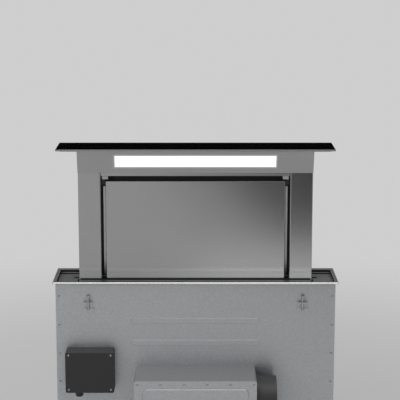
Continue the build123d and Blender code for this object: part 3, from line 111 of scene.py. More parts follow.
class VentColours(bpy.types.PropertyGroup):
    """Colours of the vent's finishes."""

    steel: colour_prop("Column steel", "Brushed stainless steel of the column", (0.40, 0.40, 0.402))
    header: colour_prop("Header steel", "Brushed stainless steel of header and sill", (0.43, 0.43, 0.432))
    panel: colour_prop("Panel steel", "Brushed stainless steel of the suction panel", (0.40, 0.40, 0.40))
    rim: colour_prop("Frame steel", "Brushed stainless steel of the flush frame", (0.50, 0.50, 0.50))
    # polished bevel: polish, and a painted highlight on the frame's front bevel
    polished: colour_prop("Polished bevel", "Bright front bevel of the flush frame", (0.86, 0.86, 0.86))
    ledge: colour_prop("Ledge steel", "Satin steel of the recessed end plates", (0.28, 0.28, 0.282))
    # bright guide steel: partly painted light, for the lit strips in the suction gaps
    guide: colour_prop("Air guide steel", "Bright steel strips in the suction gaps", (0.92, 0.92, 0.92))
    # grease: painted shade, darker towards the foot of the air guides
    grease: colour_prop("Grease", "Film on the foot of the air guides", (0.025, 0.024, 0.022))
    blackened: colour_prop("Blackened steel", "Hinge pins of the panel", (0.05, 0.05, 0.05))
    # near-black paint of the filter plate, and painted shade on the folds under the ledges and the sill
    dark_steel_and_painted_shade: colour_prop("Lining", "Dark inside of suction gaps and folds", (0.018, 0.018, 0.019))
    zinc: colour_prop("Zinc", "Galvanised sheet of the casing", (0.50, 0.515, 0.53))
    aluminium: colour_prop("Aluminium", "Filters, rails and light channel", (0.56, 0.565, 0.57))
    machined: colour_prop("Machined steel", "Shafts, gears and racks", (0.42, 0.42, 0.43))
    glass: colour_prop("Lid glass", "Black glass of the lid", (0.0005, 0.0005, 0.0006))
    glass_edge: colour_prop("Glass edge", "Ground edge of the lid", (0.28, 0.285, 0.285))
    bezel: colour_prop("Light surround", "Frosted surround of the light", (0.38, 0.38, 0.385))
    # also the colour of the painted glow in the light's surround
    light: colour_prop("Light", "Opal bar of the light", (1.0, 0.995, 0.985))
    rubber: colour_prop("Rubber", "Seals", (0.012, 0.012, 0.012))
    black: colour_prop("Black plastic", "Fan housing, wheel and control box", (0.022, 0.022, 0.024))
    grey: colour_prop("Grey plastic", "Corner blocks and check flaps", (0.41, 0.412, 0.415))
    nylon: colour_prop("Nylon", "Guide shoes", (0.70, 0.69, 0.64))
    paint: colour_prop("Motor paint", "Black paint of the motors", (0.03, 0.03, 0.033))
    bronze: colour_prop("Bronze", "Sintered shaft bushes", (0.46, 0.31, 0.15))
    mask: colour_prop("Board", "Solder mask of the circuit boards", (0.02, 0.14, 0.06))


class VentSizes(bpy.types.PropertyGroup):
    """Sizes of the parts that only the dressed model has."""

    screw_radius: length_prop("Screw head", "Radius of a sheet screw's head", 0.0038)
    screw_height: length_prop("Screw height", "Height of a sheet screw's head", 0.0019)
    bolt_radius: length_prop("Bolt head", "Radius over the corners of a bolt's head", 0.0056)
    bolt_height: length_prop("Bolt height", "Height of a hexagon bolt's head", 0.0034)
    rivet_radius: length_prop("Rivet head", "Radius of a blind rivet's head", 0.0031)
    rivet_height: length_prop("Rivet height", "Height of a blind rivet's head", 0.0011)
    seal_height: length_prop("Lid seal height", "Height of the strip round the opening", 0.0062)
    foot_seal: length_prop("Foot seal height", "Height of the strip behind each end plate", 0.0028)
    seal_thickness: length_prop("Seal thickness", "Thickness of the strips in the opening", 0.0014)
    slat_thickness: length_prop("Baffle thickness", "Thickness of a filter's rear baffles", 0.0012)
    handle_wire: length_prop("Handle wire", "Radius of the wire handles on the filters", 0.0012)
    turn_seed: IntProperty(name="Turn seed", description="Seed of each screw's turn", default=7, min=0)


class VentStage(bpy.types.PropertyGroup):
    """Camera, lamps, reflection cards and floor."""

    floor: colour_prop("Floor", "Colour of the floor and the background", (0.62, 0.62, 0.62))
    wall: colour_prop("Rear wall", "Room behind, above the dark band", (0.10, 0.10, 0.102))
    window: colour_prop("Front wall", "Room in front, above the dark band", (0.25, 0.25, 0.25))
    band: colour_prop("Dark band", "Room at the height that the lid mirrors", (0.002, 0.002, 0.002))
    dark_card: colour_prop("Dark card", "Card in front, at the right", (0.02, 0.02, 0.021))
    dim_card: colour_prop("Dim card", "Card that softens the dark card's edge", (0.49, 0.49, 0.49))
    pale_card: colour_prop("Pale card", "Low card in front, at the right", (1.0, 1.0, 1.0))
    ambient: FloatProperty(name="Ambient", description="Light from all round", default=0.42, min=0.0)
    key_power: FloatProperty(name="Key lamp", description="Overhead lamp", default=120.0, unit="POWER")
    side_power: FloatProperty(name="Side lamp", description="Left lamp", default=45.0, unit="POWER")
    camera_distance: length_prop("Camera distance", "To the frame's middle, along Y", 4.282)
    camera_height: length_prop("Camera height", "Of the camera over the worktop", 1.082)
    camera_tilt: FloatProperty(
        name="Camera tilt", description="Below the horizon", default=math.radians(11.07), subtype="ANGLE"
    )
    lens: FloatProperty(name="Lens", description="Focal length in millimetres", default=126.70, min=1.0)
    shift: FloatProperty(name="Sideways shift", description="Share of the frame's width", default=0.0114)


# ---------------------------------------------------------------- node trees
def add(tree, kind, inputs=(), **settings):
    """Adds a node, sets its properties, and sets or links its inputs."""
    node = tree.nodes.new(kind)
    node.location = (190 * len(tree.nodes), 0)
    for key, value in settings.items():
        setattr(node, key, value)
    for key, value in dict(inputs).items():
        if isinstance(value, bpy.types.NodeSocket):
            tree.links.new(value, node.inputs[key])
        else:
            node.inputs[key].default_value = value
    return node


def new_group(name, kind, inputs, outputs):
    """An empty node group with named sockets. Returns the tree, its input node and its output node."""
    tree = bpy.data.node_groups.new(name, kind)
    for way, sockets in (("INPUT", inputs), ("OUTPUT", outputs)):
        for label, socket_type, default in sockets:
            socket = tree.interface.new_socket(label, in_out=way, socket_type="NodeSocket" + socket_type)
            if default is not None:
                socket.default_value = default
    return tree, tree.nodes.new("NodeGroupInput"), tree.nodes.new("NodeGroupOutput")


def maths(tree, operation, first, second=0.0, third=None, clamp=False):
    """A Math node's result."""
    inputs = {0: first, 1: second}
    if third is not None:
        inputs[2] = third
    return add(tree, "ShaderNodeMath", inputs, operation=operation, use_clamp=clamp).outputs[0]


def times(tree, first, second, clamp=False):
    """Two values multiplied."""
    return maths(tree, "MULTIPLY", first, second, clamp=clamp)


def vector_maths(tree, operation, first, second=None, result=0):
    """A Vector Math node's result."""
    inputs = {0: first} if second is None else {0: first, 1: second}
    return add(tree, "ShaderNodeVectorMath", inputs, operation=operation).outputs[result]


def noise_at(tree, vector, scale, detail=2.0, roughness=0.5):
    """A noise value from 0 to 1."""
    inputs = {"Vector": vector, "Scale": scale, "Detail": detail, "Roughness": roughness}
    return add(tree, "ShaderNodeTexNoise", inputs).outputs["Fac"]


def place_in(tree):
    """The place on the object, in metres."""
    return add(tree, "ShaderNodeTexCoord").outputs["Object"]


def normal_in(tree):
    """The way that the surface faces."""
    return add(tree, "ShaderNodeNewGeometry").outputs["Normal"]


def split(tree, vector):
    """A vector's X, Y and Z."""
    return add(tree, "ShaderNodeSeparateXYZ", {0: vector}).outputs


def ramp(tree, value, start, end, kind="SMOOTHSTEP"):
    """0 where value is start, going to 1 where it is end."""
    inputs = {"Value": value, "From Min": start, "From Max": end}
    return add(tree, "ShaderNodeMapRange", inputs, interpolation_type=kind).outputs[0]


def blend(tree, share, first, second):
    """One colour that goes over to another as share goes from 0 to 1."""
    return add(tree, "ShaderNodeMix", {0: share, 6: first, 7: second}, data_type="RGBA").outputs[2]


def weighed(tree, first, first_share, second, second_share):
    """The sum of two values, each times its share, kept within 0 and 1."""
    first = times(tree, first, first_share)
    second = times(tree, second, second_share)
    return maths(tree, "ADD", first, second, clamp=True)


TONE_AND_HEIGHT = [("Tone", "Float", None), ("Height", "Float", None)]


def brushed_lines_group():
    """Brushing: fine and broad streaks along one axis, and slow cloudy patches."""
    sockets = [("Stretch", "Vector", ACROSS), ("Streaks", "Float", 0.5), ("Clouds", "Float", 0.3)]
    tree, given, made = new_group("brushed_lines", "ShaderNodeTree", sockets, TONE_AND_HEIGHT)
    place = place_in(tree)
    fine_place = vector_maths(tree, "MULTIPLY", place, given.outputs["Stretch"])
    broad_place = vector_maths(tree, "MULTIPLY", fine_place, BROAD)
    fine = noise_at(tree, fine_place, 1.0, 3.0, 0.6)
    broad = noise_at(tree, broad_place, 1.0, 3.0, 0.6)
    cloud = noise_at(tree, place, 4.5)
    streak = maths(tree, "SUBTRACT", maths(tree, "ADD", fine, broad), 1.0)
    streak = times(tree, streak, given.outputs["Streaks"])
    patch = times(tree, maths(tree, "SUBTRACT", cloud, 0.5), given.outputs["Clouds"])
    tone = maths(tree, "ADD", maths(tree, "ADD", streak, patch), 0.5, clamp=True)
    tree.links.new(tone, made.inputs["Tone"])
    tree.links.new(fine, made.inputs["Height"])
    return tree


def worn_edges_group():
    """Edges that handling has polished or rubbed pale."""
    sockets = [("Radius", "Float", 0.0012), ("Amount", "Float", 1.0)]
    tree, given, made = new_group("worn_edges", "ShaderNodeTree", sockets, [("Mask", "Float", None)])
    soft = add(tree, "ShaderNodeBevel", {"Radius": given.outputs["Radius"]}, samples=6).outputs[0]
    along = vector_maths(tree, "DOT_PRODUCT", soft, normal_in(tree), "Value")
    bend = times(tree, maths(tree, "SUBTRACT", 1.0, along), 7.0, clamp=True)
    patchy = maths(tree, "ADD", noise_at(tree, place_in(tree), 60.0, 3.0), 0.35, clamp=True)
    mask = times(tree, times(tree, bend, patchy), given.outputs["Amount"], clamp=True)
    tree.links.new(mask, made.inputs["Mask"])
    return tree


def settled_dust_group():
    """Thin dust on what faces up."""
    sockets = [("Amount", "Float", 0.3)]
    tree, given, made = new_group("settled_dust", "ShaderNodeTree", sockets, [("Mask", "Float", None)])
    up = maths(tree, "MAXIMUM", split(tree, normal_in(tree))["Z"], 0.0)
    speckle = noise_at(tree, place_in(tree), 140.0, 4.0, 0.65)
    mask = times(tree, times(tree, up, speckle), given.outputs["Amount"], clamp=True)
    tree.links.new(mask, made.inputs["Mask"])
    return tree


def zinc_spangle_group():
    """The crystal pattern of galvanised sheet."""
    sockets = [("Crystals", "Float", 230.0)]
    tree, given, made = new_group("zinc_spangle", "ShaderNodeTree", sockets, TONE_AND_HEIGHT)
    place = place_in(tree)
    bent = add(tree, "ShaderNodeTexNoise", {"Vector": place, "Scale": 40.0, "Detail": 2.0}).outputs["Color"]
    moved = vector_maths(tree, "ADD", place, vector_maths(tree, "MULTIPLY", bent, (0.006, 0.006, 0.006)))
    cells = add(tree, "ShaderNodeTexVoronoi", {"Vector": moved, "Scale": given.outputs["Crystals"]})
    cell_tone = add(tree, "ShaderNodeSeparateColor", {0: cells.outputs["Color"]}).outputs[0]
    tone = weighed(tree, cell_tone, 0.75, noise_at(tree, place, 900.0), 0.25)
    tree.links.new(tone, made.inputs["Tone"])
    tree.links.new(cells.outputs["Distance"], made.inputs["Height"])
    return tree


def moulded_grain_group():
    """The fine eroded grain of moulded plastic or cast paint."""
    sockets = [("Grain", "Float", 1400.0)]
    tree, given, made = new_group("moulded_grain", "ShaderNodeTree", sockets, TONE_AND_HEIGHT)
    place = place_in(tree)
    fine = noise_at(tree, place, given.outputs["Grain"], 3.0, 0.6)
    tone = weighed(tree, fine, 0.4, noise_at(tree, place, 9.0, 3.0), 0.6)
    tree.links.new(tone, made.inputs["Tone"])
    tree.links.new(fine, made.inputs["Height"])
    return tree


# a screw's slots are SLOT_SHARE of its radius wide; heads are turned by up to TURN_LIMIT radians
SLOT_SHARE = 0.24
TURN_LIMIT = 6.283
ROUND_SIDES, HEXAGON_SIDES = 14, 6
WASHER_SIDES, WASHER_SHARE, WASHER_HEIGHT = 18, 1.35, 0.0008
# a cross smaller than NO_CROSS isn't cut, and a washer smaller than NO_WASHER isn't made
NO_CROSS, NO_WASHER = 0.01, 0.0001
# the measures of a head, in the order in which heads gives them, and what both trees give back
HEAD_SHAPE = ("Head Radius", "Head Height", "Top Share", "Cross Share", "Washer Radius", "Washer Height")
SHAPE = [("Shape", "Geometry", None)]


def head_tree():
    """Geometry Nodes: a screw, bolt or rivet head on each point, turned to the point's own facing."""
    sockets = [("Points", "Geometry", None)] + [(label, "Float", 0.0) for label in HEAD_SHAPE]
    sockets += [("Sides", "Int", ROUND_SIDES), ("Seed", "Int", 1), ("Finish", "Material", None)]
    tree, given, made = new_group("fastener_heads", "GeometryNodeTree", sockets, SHAPE)
    g = given.outputs
    radius, height = g["Head Radius"], g["Head Height"]
    top = times(tree, radius, g["Top Share"])
    inputs = {"Vertices": g["Sides"], "Radius Top": top, "Radius Bottom": radius, "Depth": height}
    head = add(tree, "GeometryNodeMeshCone", inputs).outputs["Mesh"]
    long_side = times(tree, times(tree, radius, 2.0), g["Cross Share"])
    slot_side = times(tree, radius, SLOT_SHARE)
    cut = add(tree, "GeometryNodeMeshBoolean", {0: head}, operation="DIFFERENCE")
    for first, second in ((long_side, slot_side), (slot_side, long_side)):
        size = add(tree, "ShaderNodeCombineXYZ", {"X": first, "Y": second, "Z": height}).outputs[0]
        bar = add(tree, "GeometryNodeMeshCube", {"Size": size}).outputs["Mesh"]
        tree.links.new(lifted(tree, bar, height), cut.inputs["Mesh 2"])
    crossed = add(tree, "FunctionNodeCompare", {"A": g["Cross Share"], "B": NO_CROSS}, data_type="FLOAT")
    head = switched(tree, crossed, {"False": head, "True": cut.outputs["Mesh"]})
    head = lifted(tree, head, g["Washer Height"])
    wide, deep = g["Washer Radius"], g["Washer Height"]
    inputs = {"Vertices": WASHER_SIDES, "Radius Top": wide, "Radius Bottom": wide, "Depth": deep}
    washer = add(tree, "GeometryNodeMeshCone", inputs).outputs["Mesh"]
    washed = add(tree, "FunctionNodeCompare", {"A": wide, "B": NO_WASHER}, data_type="FLOAT")
    washer = switched(tree, washed, {"True": washer})
    whole = tree.nodes.new("GeometryNodeJoinGeometry")
    for part in (washer, head):
        tree.links.new(part, whole.inputs[0])
    facing = add(tree, "GeometryNodeInputNamedAttribute", {"Name": "facing"}, data_type="FLOAT_VECTOR")
    align = add(tree, "FunctionNodeAlignRotationToVector", {"Vector": facing.outputs[0]}, axis="Z")
    turn = add(tree, "FunctionNodeRandomValue", {"Max": TURN_LIMIT, "Seed": g["Seed"]}, data_type="FLOAT")
    spin = add(tree, "FunctionNodeAxisAngleToRotation", {"Axis": (0, 0, 1), "Angle": turn.outputs[1]})
    inputs = {"Rotation": align.outputs[0], "Rotate By": spin.outputs[0]}
    turned = add(tree, "FunctionNodeRotateRotation", inputs, rotation_space="LOCAL")
    inputs = {"Points": g["Points"], "Instance": whole.outputs[0], "Rotation": turned.outputs[0]}
    tree.links.new(made_real(tree, inputs, g["Finish"]), made.inputs[0])
    return tree


def row_tree():
    """Geometry Nodes: equal bars in a row, from a first centre, a step and a bar's size."""
    sockets = [
        ("Nothing", "Geometry", None),
        ("Count", "Int", 12),
        ("First Centre", "Vector", (0, 0, 0)),
        ("Step", "Vector", (0.01, 0, 0)),
        ("Bar Size", "Vector", (0.01, 0.001, 0.1)),
        ("Finish", "Material", None),
    ]
    tree, given, made = new_group("bar_row", "GeometryNodeTree", sockets, SHAPE)
    g = given.outputs
    inputs = {"Count": g["Count"], "Start Location": g["First Centre"], "Offset": g["Step"]}
    line = add(tree, "GeometryNodeMeshLine", inputs).outputs[0]
    bar = add(tree, "GeometryNodeMeshCube", {"Size": g["Bar Size"]}).outputs["Mesh"]
    tree.links.new(made_real(tree, {"Points": line, "Instance": bar}, g["Finish"]), made.inputs[0])
    return tree


def lifted(tree, shape, height):
    """Geometry moved up."""
    lift = add(tree, "ShaderNodeCombineXYZ", {"Z": height}).outputs[0]
    return add(tree, "GeometryNodeTransform", {"Geometry": shape, "Translation": lift}).outputs[0]


def switched(tree, test, choices):
    """One geometry or the other, as a test says."""
    inputs = {"Switch": test.outputs[0], **choices}
    return add(tree, "GeometryNodeSwitch", inputs, input_type="GEOMETRY").outputs[0]


def made_real(tree, inputs, material):
    """Instances on points, as real geometry with a material."""
    spread = add(tree, "GeometryNodeInstanceOnPoints", inputs)
    real = add(tree, "GeometryNodeRealizeInstances", {0: spread.outputs[0]}).outputs[0]
    return add(tree, "GeometryNodeSetMaterial", {"Geometry": real, "Material": material}).outputs[0]


GROUP_MAKERS = {
    "brushed_lines": brushed_lines_group,
    "worn_edges": worn_edges_group,
    "settled_dust": settled_dust_group,
    "zinc_spangle": zinc_spangle_group,
    "moulded_grain": moulded_grain_group,
    "fastener_heads": head_tree,
    "bar_row": row_tree,
}
GROUPS = {}


def group(name):
    """A node group, built the first time that it is asked for."""
    if name not in GROUPS:
        GROUPS[name] = GROUP_MAKERS[name]()
    return GROUPS[name]


# ---------------------------------------------------------------- finishes
FINISHES = {}

# brushed steel near the foot, where a painted reflection lies: between which X that painted light gets paler,
# how pale, and how metallic it stays
FOOT_LIGHT_LEFT, FOOT_LIGHT_RIGHT = -0.25, 0.22
FOOT_PAINTED_LIGHT = (1.3, 1.95)
FOOT_PAINTED_METAL = 0.05

# heights between which the painted shade on the air guides thickens towards the foot, and how much it covers
# at most
GUIDE_SHADE_LINE = (0.070, 0.004)
GUIDE_SHADE_COVER = 0.92

# how far the painted glow reaches into the light's surround, and how strong it is there, far and near
GLOW_REACH = 0.008
GLOW = (0.03, 0.18)


def blank(name):
    """A new material with only its Principled shader and output."""
    material = bpy.data.materials.new(name)
    material.use_nodes = True
    return material, material.node_tree, material.node_tree.nodes["Principled BSDF"]


def shade(colour, factor=1.0):
    """A lighter or darker version of a colour, with alpha."""
    return tuple(min(1.0, part * factor) for part in colour) + (1.0,)


def texture(tree, name, **inputs):
    """The outputs of a shared shader group, with its inputs set."""
    return add(tree, "ShaderNodeGroup", inputs, node_tree=group(name)).outputs


def textured(name, colour, kind, spread, rough, bump, **inputs):
    """A material whose tone, gloss and height follow a shared texture; with its tree, shader and tone."""
    material, tree, shader = blank(name)
    made = texture(tree, kind, **inputs)
    tone = two_tone(tree, shader, colour, made["Tone"], spread)
    rough_between(tree, shader, made["Tone"], *rough)
    bumped(tree, shader, made["Height"], *bump)
    return material, tree, shader, tone


def worn(tree, shader, tone, amount, colour):
    """Another colour over Base Color at worn edges."""
    return over(tree, shader, tone, texture(tree, "worn_edges", Amount=amount)["Mask"], colour)


def two_tone(tree, shader, colour, tone, spread):
    """Base Color between a darker and a lighter version of one colour."""
    mixed = blend(tree, tone, shade(colour, 1 - spread), shade(colour, 1 + spread))
    tree.links.new(mixed, shader.inputs["Base Color"])
    return mixed


def over(tree, shader, under, mask, colour):
    """Another colour over Base Color where mask says."""
    mixed = blend(tree, mask, under, shade(colour))
    tree.links.new(mixed, shader.inputs["Base Color"])
    return mixed


def painted(material, mask, colour):
    """The material with another colour over its Base Color where mask says."""
    tree = material.node_tree
    shader = tree.nodes["Principled BSDF"]
    over(tree, shader, shader.inputs["Base Color"].links[0].from_socket, mask, colour)
    return material


def rough_between(tree, shader, tone, low, high):
    """Roughness from low to high as tone goes from 0 to 1."""
    scaled = maths(tree, "MULTIPLY_ADD", tone, high - low, low)
    tree.links.new(scaled, shader.inputs["Roughness"])
    return scaled


def bumped(tree, shader, height, strength, distance):
    """Normal from a height."""
    bump = add(tree, "ShaderNodeBump", {"Height": height, "Strength": strength, "Distance": distance})
    tree.links.new(bump.outputs[0], shader.inputs["Normal"])


def brushed_metal(name, colour, stretch, rough, streaks=0.55, clouds=0.25, wear=0.5, haze=0.0, foot=0.0):
    """Brushed metal: streaks in tone, gloss and height, with edges polished a little brighter.

    haze is the share of light that it scatters. foot is a height under which its front gets a painted
    reflection: a paler, less metallic colour, paler still towards the right.
    """
    lines = {"Stretch": stretch, "Streaks": streaks, "Clouds": clouds}
    gloss, bump = (rough - 0.06, rough + 0.07), (0.12, 0.0002)
    material, tree, shader, tone = textured(name, colour, "brushed_lines", 0.22, gloss, bump, **lines)
    shader.inputs["Metallic"].default_value = 1.0 - haze
    tone = worn(tree, shader, tone, wear, shade(colour, 1.5)[:3])
    # painted reflection: under foot the front is paler and less metallic, paler towards the right, standing
    # in for reflected light
    if foot:
        place = split(tree, place_in(tree))
        back = split(tree, normal_in(tree))["Y"]
        painted_foot = ramp(tree, place["Z"], foot, 0.3 * foot)
        painted_foot = times(tree, painted_foot, times(tree, back, -1.0, clamp=True))
        right = ramp(tree, place["X"], FOOT_LIGHT_LEFT, FOOT_LIGHT_RIGHT)
        pale = blend(tree, right, shade(colour, FOOT_PAINTED_LIGHT[0]), shade(colour, FOOT_PAINTED_LIGHT[1]))
        tree.links.new(blend(tree, painted_foot, tone, pale), shader.inputs["Base Color"])
        shine = maths(tree, "MULTIPLY_ADD", painted_foot, haze + FOOT_PAINTED_METAL - 1.0, 1.0 - haze)
        tree.links.new(shine, shader.inputs["Metallic"])
    return material


def guide_metal(name, colour, grease):
    """Bright metal, its brightness partly painted light, under painted shade that thickens towards the foot.
    """
    # the bright colour with much scattered light is partly painted light on the strips in the suction gaps
    material = brushed_metal(name, colour, UPRIGHT, 0.38, streaks=0.3, haze=0.5)
    tree = material.node_tree
    # painted shade, darker towards the foot; the grease colour is this shade
    guide_foot_shade = ramp(tree, split(tree, place_in(tree))["Z"], *GUIDE_SHADE_LINE)
    return painted(material, times(tree, guide_foot_shade, GUIDE_SHADE_COVER), grease)


def metal_with_painted_fold_shade(name, colour, dark_steel_and_painted_shade, node, rough, haze):
    """Brushed metal of a node's level face, with painted shade on the folds under it."""
    material = brushed_metal(name, colour, ACROSS, rough, streaks=0.3, haze=haze)
    tree = material.node_tree
    # painted shade: everything under the level face takes the dark colour
    under = maths(tree, "LESS_THAN", split(tree, place_in(tree))["Z"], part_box(node)[1].z - THIN_SHEET)
    return painted(material, under, dark_steel_and_painted_shade)


def frame_metal(name, colour, polished):
    """Brushed metal whose bevel at the front is polished, and painted bright as a painted highlight."""
    material = brushed_metal(name, colour, ACROSS, 0.22, streaks=0.3, wear=0.1, haze=0.2)
    tree = material.node_tree
    # painted highlight: faces that look forward and up take the polished colour
    facing = split(tree, normal_in(tree))
    front = times(tree, maths(tree, "SUBTRACT", -0.3, facing["Y"]), 4.0, clamp=True)
    bevel = times(tree, front, times(tree, facing["Z"], 4.0, clamp=True))
    return painted(material, bevel, polished)


def galvanised(name, colour):
    """Galvanised sheet with spangle, paler rubbed edges and a little dust."""
    gloss, bump = (0.34, 0.52), (0.05, 0.0003)
    material, tree, shader, tone = textured(name, colour, "zinc_spangle", 0.11, gloss, bump)
    shader.inputs["Metallic"].default_value = 0.85
    tone = worn(tree, shader, tone, 0.6, (0.75, 0.76, 0.77))
    over(tree, shader, tone, texture(tree, "settled_dust")["Mask"], (0.55, 0.53, 0.50))
    return material


def moulded(name, colour, rough, grain=1400.0, wear=0.25, pale=2.2, bump=0.2, sheen=0.5, dusty=0.12):
    """Moulded plastic, rubber or paint with its grain and slightly paler edges."""
    gloss, bump = (rough - 0.08, rough + 0.08), (bump, 0.0002)
    material, tree, shader, tone = textured(name, colour, "moulded_grain", 0.18, gloss, bump, Grain=grain)
    shader.inputs["Specular IOR Level"].default_value = sheen
    tone = worn(tree, shader, tone, wear, shade(colour, pale)[:3])
    over(tree, shader, tone, texture(tree, "settled_dust", Amount=dusty)["Mask"], (0.40, 0.39, 0.37))
    return material


def lid_glass(name, colour, edge):
    """Black glass: nearly clean, with faint wiping marks in its gloss and a paler ground edge."""
    material, tree, shader = blank(name)
    shader.inputs["IOR"].default_value = 1.5
    place = place_in(tree)
    marks = noise_at(tree, vector_maths(tree, "MULTIPLY", place, (6.0, 40.0, 6.0)), 1.0, 4.0, 0.6)
    tone = two_tone(tree, shader, colour, marks, 0.3)
    side = maths(tree, "LESS_THAN", maths(tree, "ABSOLUTE", split(tree, normal_in(tree))["Z"]), 0.9)
    ground = times(tree, noise_at(tree, place, 500.0, 3.0, 0.6), 0.3)
    ground = times(tree, side, maths(tree, "ADD", ground, 0.7), clamp=True)
    over(tree, shader, tone, ground, edge)
    gloss = rough_between(tree, shader, marks, 0.03, 0.08)
    tree.links.new(maths(tree, "MULTIPLY_ADD", side, 0.25, gloss), shader.inputs["Roughness"])
    return material


def lit_plastic(name, colour, rough):
    """Opal plastic that light comes through, a little uneven from lamp to lamp."""
    gloss, bump = (rough - 0.06, rough + 0.06), (0.05, 0.0001)
    material, tree, shader, _ = textured(name, colour, "moulded_grain", 0.05, gloss, bump)
    inputs = {"Vector": place_in(tree), "Scale": 8.0, "Distortion": 0.0}
    wave = add(tree, "ShaderNodeTexWave", inputs, bands_direction="X").outputs["Fac"]
    tree.links.new(blend(tree, wave, shade(colour, 0.97), shade(colour)), shader.inputs["Emission Color"])
    shader.inputs["Emission Strength"].default_value = 0.92
    return material


def surround_with_painted_glow(name, colour, glow):
    """Frosted plastic round the light, with a painted glow that is brighter near the light's edge."""
    gloss, bump = (0.38, 0.52), (0.05, 0.0001)
    material, tree, shader, _ = textured(name, colour, "moulded_grain", 0.06, gloss, bump)
    low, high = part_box("led_diffuser")
    away = vector_maths(tree, "SUBTRACT", place_in(tree), tuple((low + high) / 2))
    away = vector_maths(tree, "ABSOLUTE", away)
    away = split(tree, vector_maths(tree, "SUBTRACT", away, tuple((high - low) / 2)))
    # painted glow: the surround is no lamp, yet emits light near the light bar
    near = ramp(tree, maths(tree, "MAXIMUM", away["X"], away["Z"]), GLOW_REACH, 0.0, "LINEAR")
    light = blend(tree, times(tree, near, near), shade(glow, GLOW[0]), shade(glow, GLOW[1]))
    tree.links.new(light, shader.inputs["Emission Color"])
    shader.inputs["Emission Strength"].default_value = 1.0
    return material


def board_finish(name, colour):
    """Solder mask with faint tracks under it."""
    material, tree, shader = blank(name)
    inputs = {"Vector": place_in(tree), "Scale": 90.0, "Mortar Size": 0.04}
    tracks = add(tree, "ShaderNodeTexBrick", inputs, offset=0.35).outputs["Fac"]
    two_tone(tree, shader, colour, tracks, 0.45)
    rough_between(tree, shader, tracks, 0.30, 0.42)
    bumped(tree, shader, tracks, 0.2, 0.0001)
    return material


def finish(name):
    """The named finish, made the first time that it is used."""
    if name in FINISHES:
        return FINISHES[name]
    c = bpy.context.scene.vent_colours
    # foot is the height under which the column's front gets its painted reflection
    column = {"streaks": 0.3, "haze": 0.13, "foot": 0.040}
    makers = {
        "brushed_steel": lambda: brushed_metal(name, c.steel, ACROSS, 0.19, **column),
        "header_steel": lambda: brushed_metal(name, c.header, ACROSS, 0.30, streaks=0.3, haze=0.1),
        "panel_steel": lambda: brushed_metal(name, c.panel, ACROSS, 0.19, **column),
        # frame: front bevel polished, with a painted highlight
        "frame_steel": lambda: frame_metal(name, c.rim, c.polished),
        # ledge and sill: painted shade on the folds under their level faces
        "ledge_steel": lambda: metal_with_painted_fold_shade(name, c.ledge, c.dark_steel_and_painted_shade, "left_ledge", 0.42, 0.5),
        "sill_steel": lambda: metal_with_painted_fold_shade(name, c.header, c.dark_steel_and_painted_shade, "sill_strip", 0.30, 0.1),
        # air guides: bright colour partly painted light, with painted shade towards the foot
        "guide_steel": lambda: guide_metal(name, c.guide, c.grease),
        "blackened_steel": lambda: brushed_metal(name, c.blackened, EVEN, 0.4, wear=0.3),
        "dark_steel": lambda: moulded(name, c.dark_steel_and_painted_shade, 0.55, grain=900.0, wear=0.15),
        "galvanised": lambda: galvanised(name, c.zinc),
        "aluminium": lambda: brushed_metal(name, c.aluminium, UPRIGHT, 0.36, streaks=0.35),
        "machined_steel": lambda: brushed_metal(name, c.machined, TURNED, 0.24, streaks=0.4),
        "black_glass": lambda: lid_glass(name, c.glass, c.glass_edge),
        # the light's surround, with painted glow
        "frosted_plastic": lambda: surround_with_painted_glow(name, c.bezel, c.light),
        "light_diffuser": lambda: lit_plastic(name, c.light, 0.35),
        "black_rubber": lambda: moulded(name, c.rubber, 0.70, grain=700.0, wear=0.1, sheen=0.15, dusty=0.02),
        "black_plastic": lambda: moulded(name, c.black, 0.48),
        "catch_black": lambda: moulded(name, c.black, 0.55, wear=0.1, sheen=0.3, dusty=0.02),
        "grey_plastic": lambda: moulded(name, c.grey, 0.45),
        "pale_nylon": lambda: moulded(name, c.nylon, 0.40, pale=1.15, bump=0.1),
        "motor_black": lambda: moulded(name, c.paint, 0.42, grain=500.0, wear=0.4, pale=3.0),
        "bronze": lambda: brushed_metal(name, c.bronze, EVEN, 0.42, streaks=0.5),
        "circuit_green": lambda: board_finish(name, c.mask),
    }
    FINISHES[name] = makers[name]()
    return FINISHES[name]


def dress(finish_name, *nodes):
    """Gives a finish to nodes of the solid model."""
    for node in nodes:
        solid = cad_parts[node]
        if not solid.material_slots:
            solid.data.materials.append(None)
        for slot in solid.material_slots:
            slot.material = finish(finish_name)


# ---------------------------------------------------------------- pieces
def placed(name, data):
    """A new object in the scene."""
    made = bpy.data.objects.new(name, data)
    bpy.context.scene.collection.objects.link(made)
    return made


def link_piece(name, mesh, body, finish_name=None):
    """A finished piece at the origin that rides on a body."""
    piece = placed(name, mesh)
    if finish_name:
        mesh.materials.clear()
        mesh.materials.append(finish(finish_name))
    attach(piece, body)


def baked(name, holder):
    """The plain mesh of an evaluated object, which is then removed."""
    evaluated = holder.evaluated_get(bpy.context.evaluated_depsgraph_get())
    mesh = bpy.data.meshes.new_from_object(evaluated)
    mesh.name = name
    bpy.data.objects.remove(holder)
    return mesh


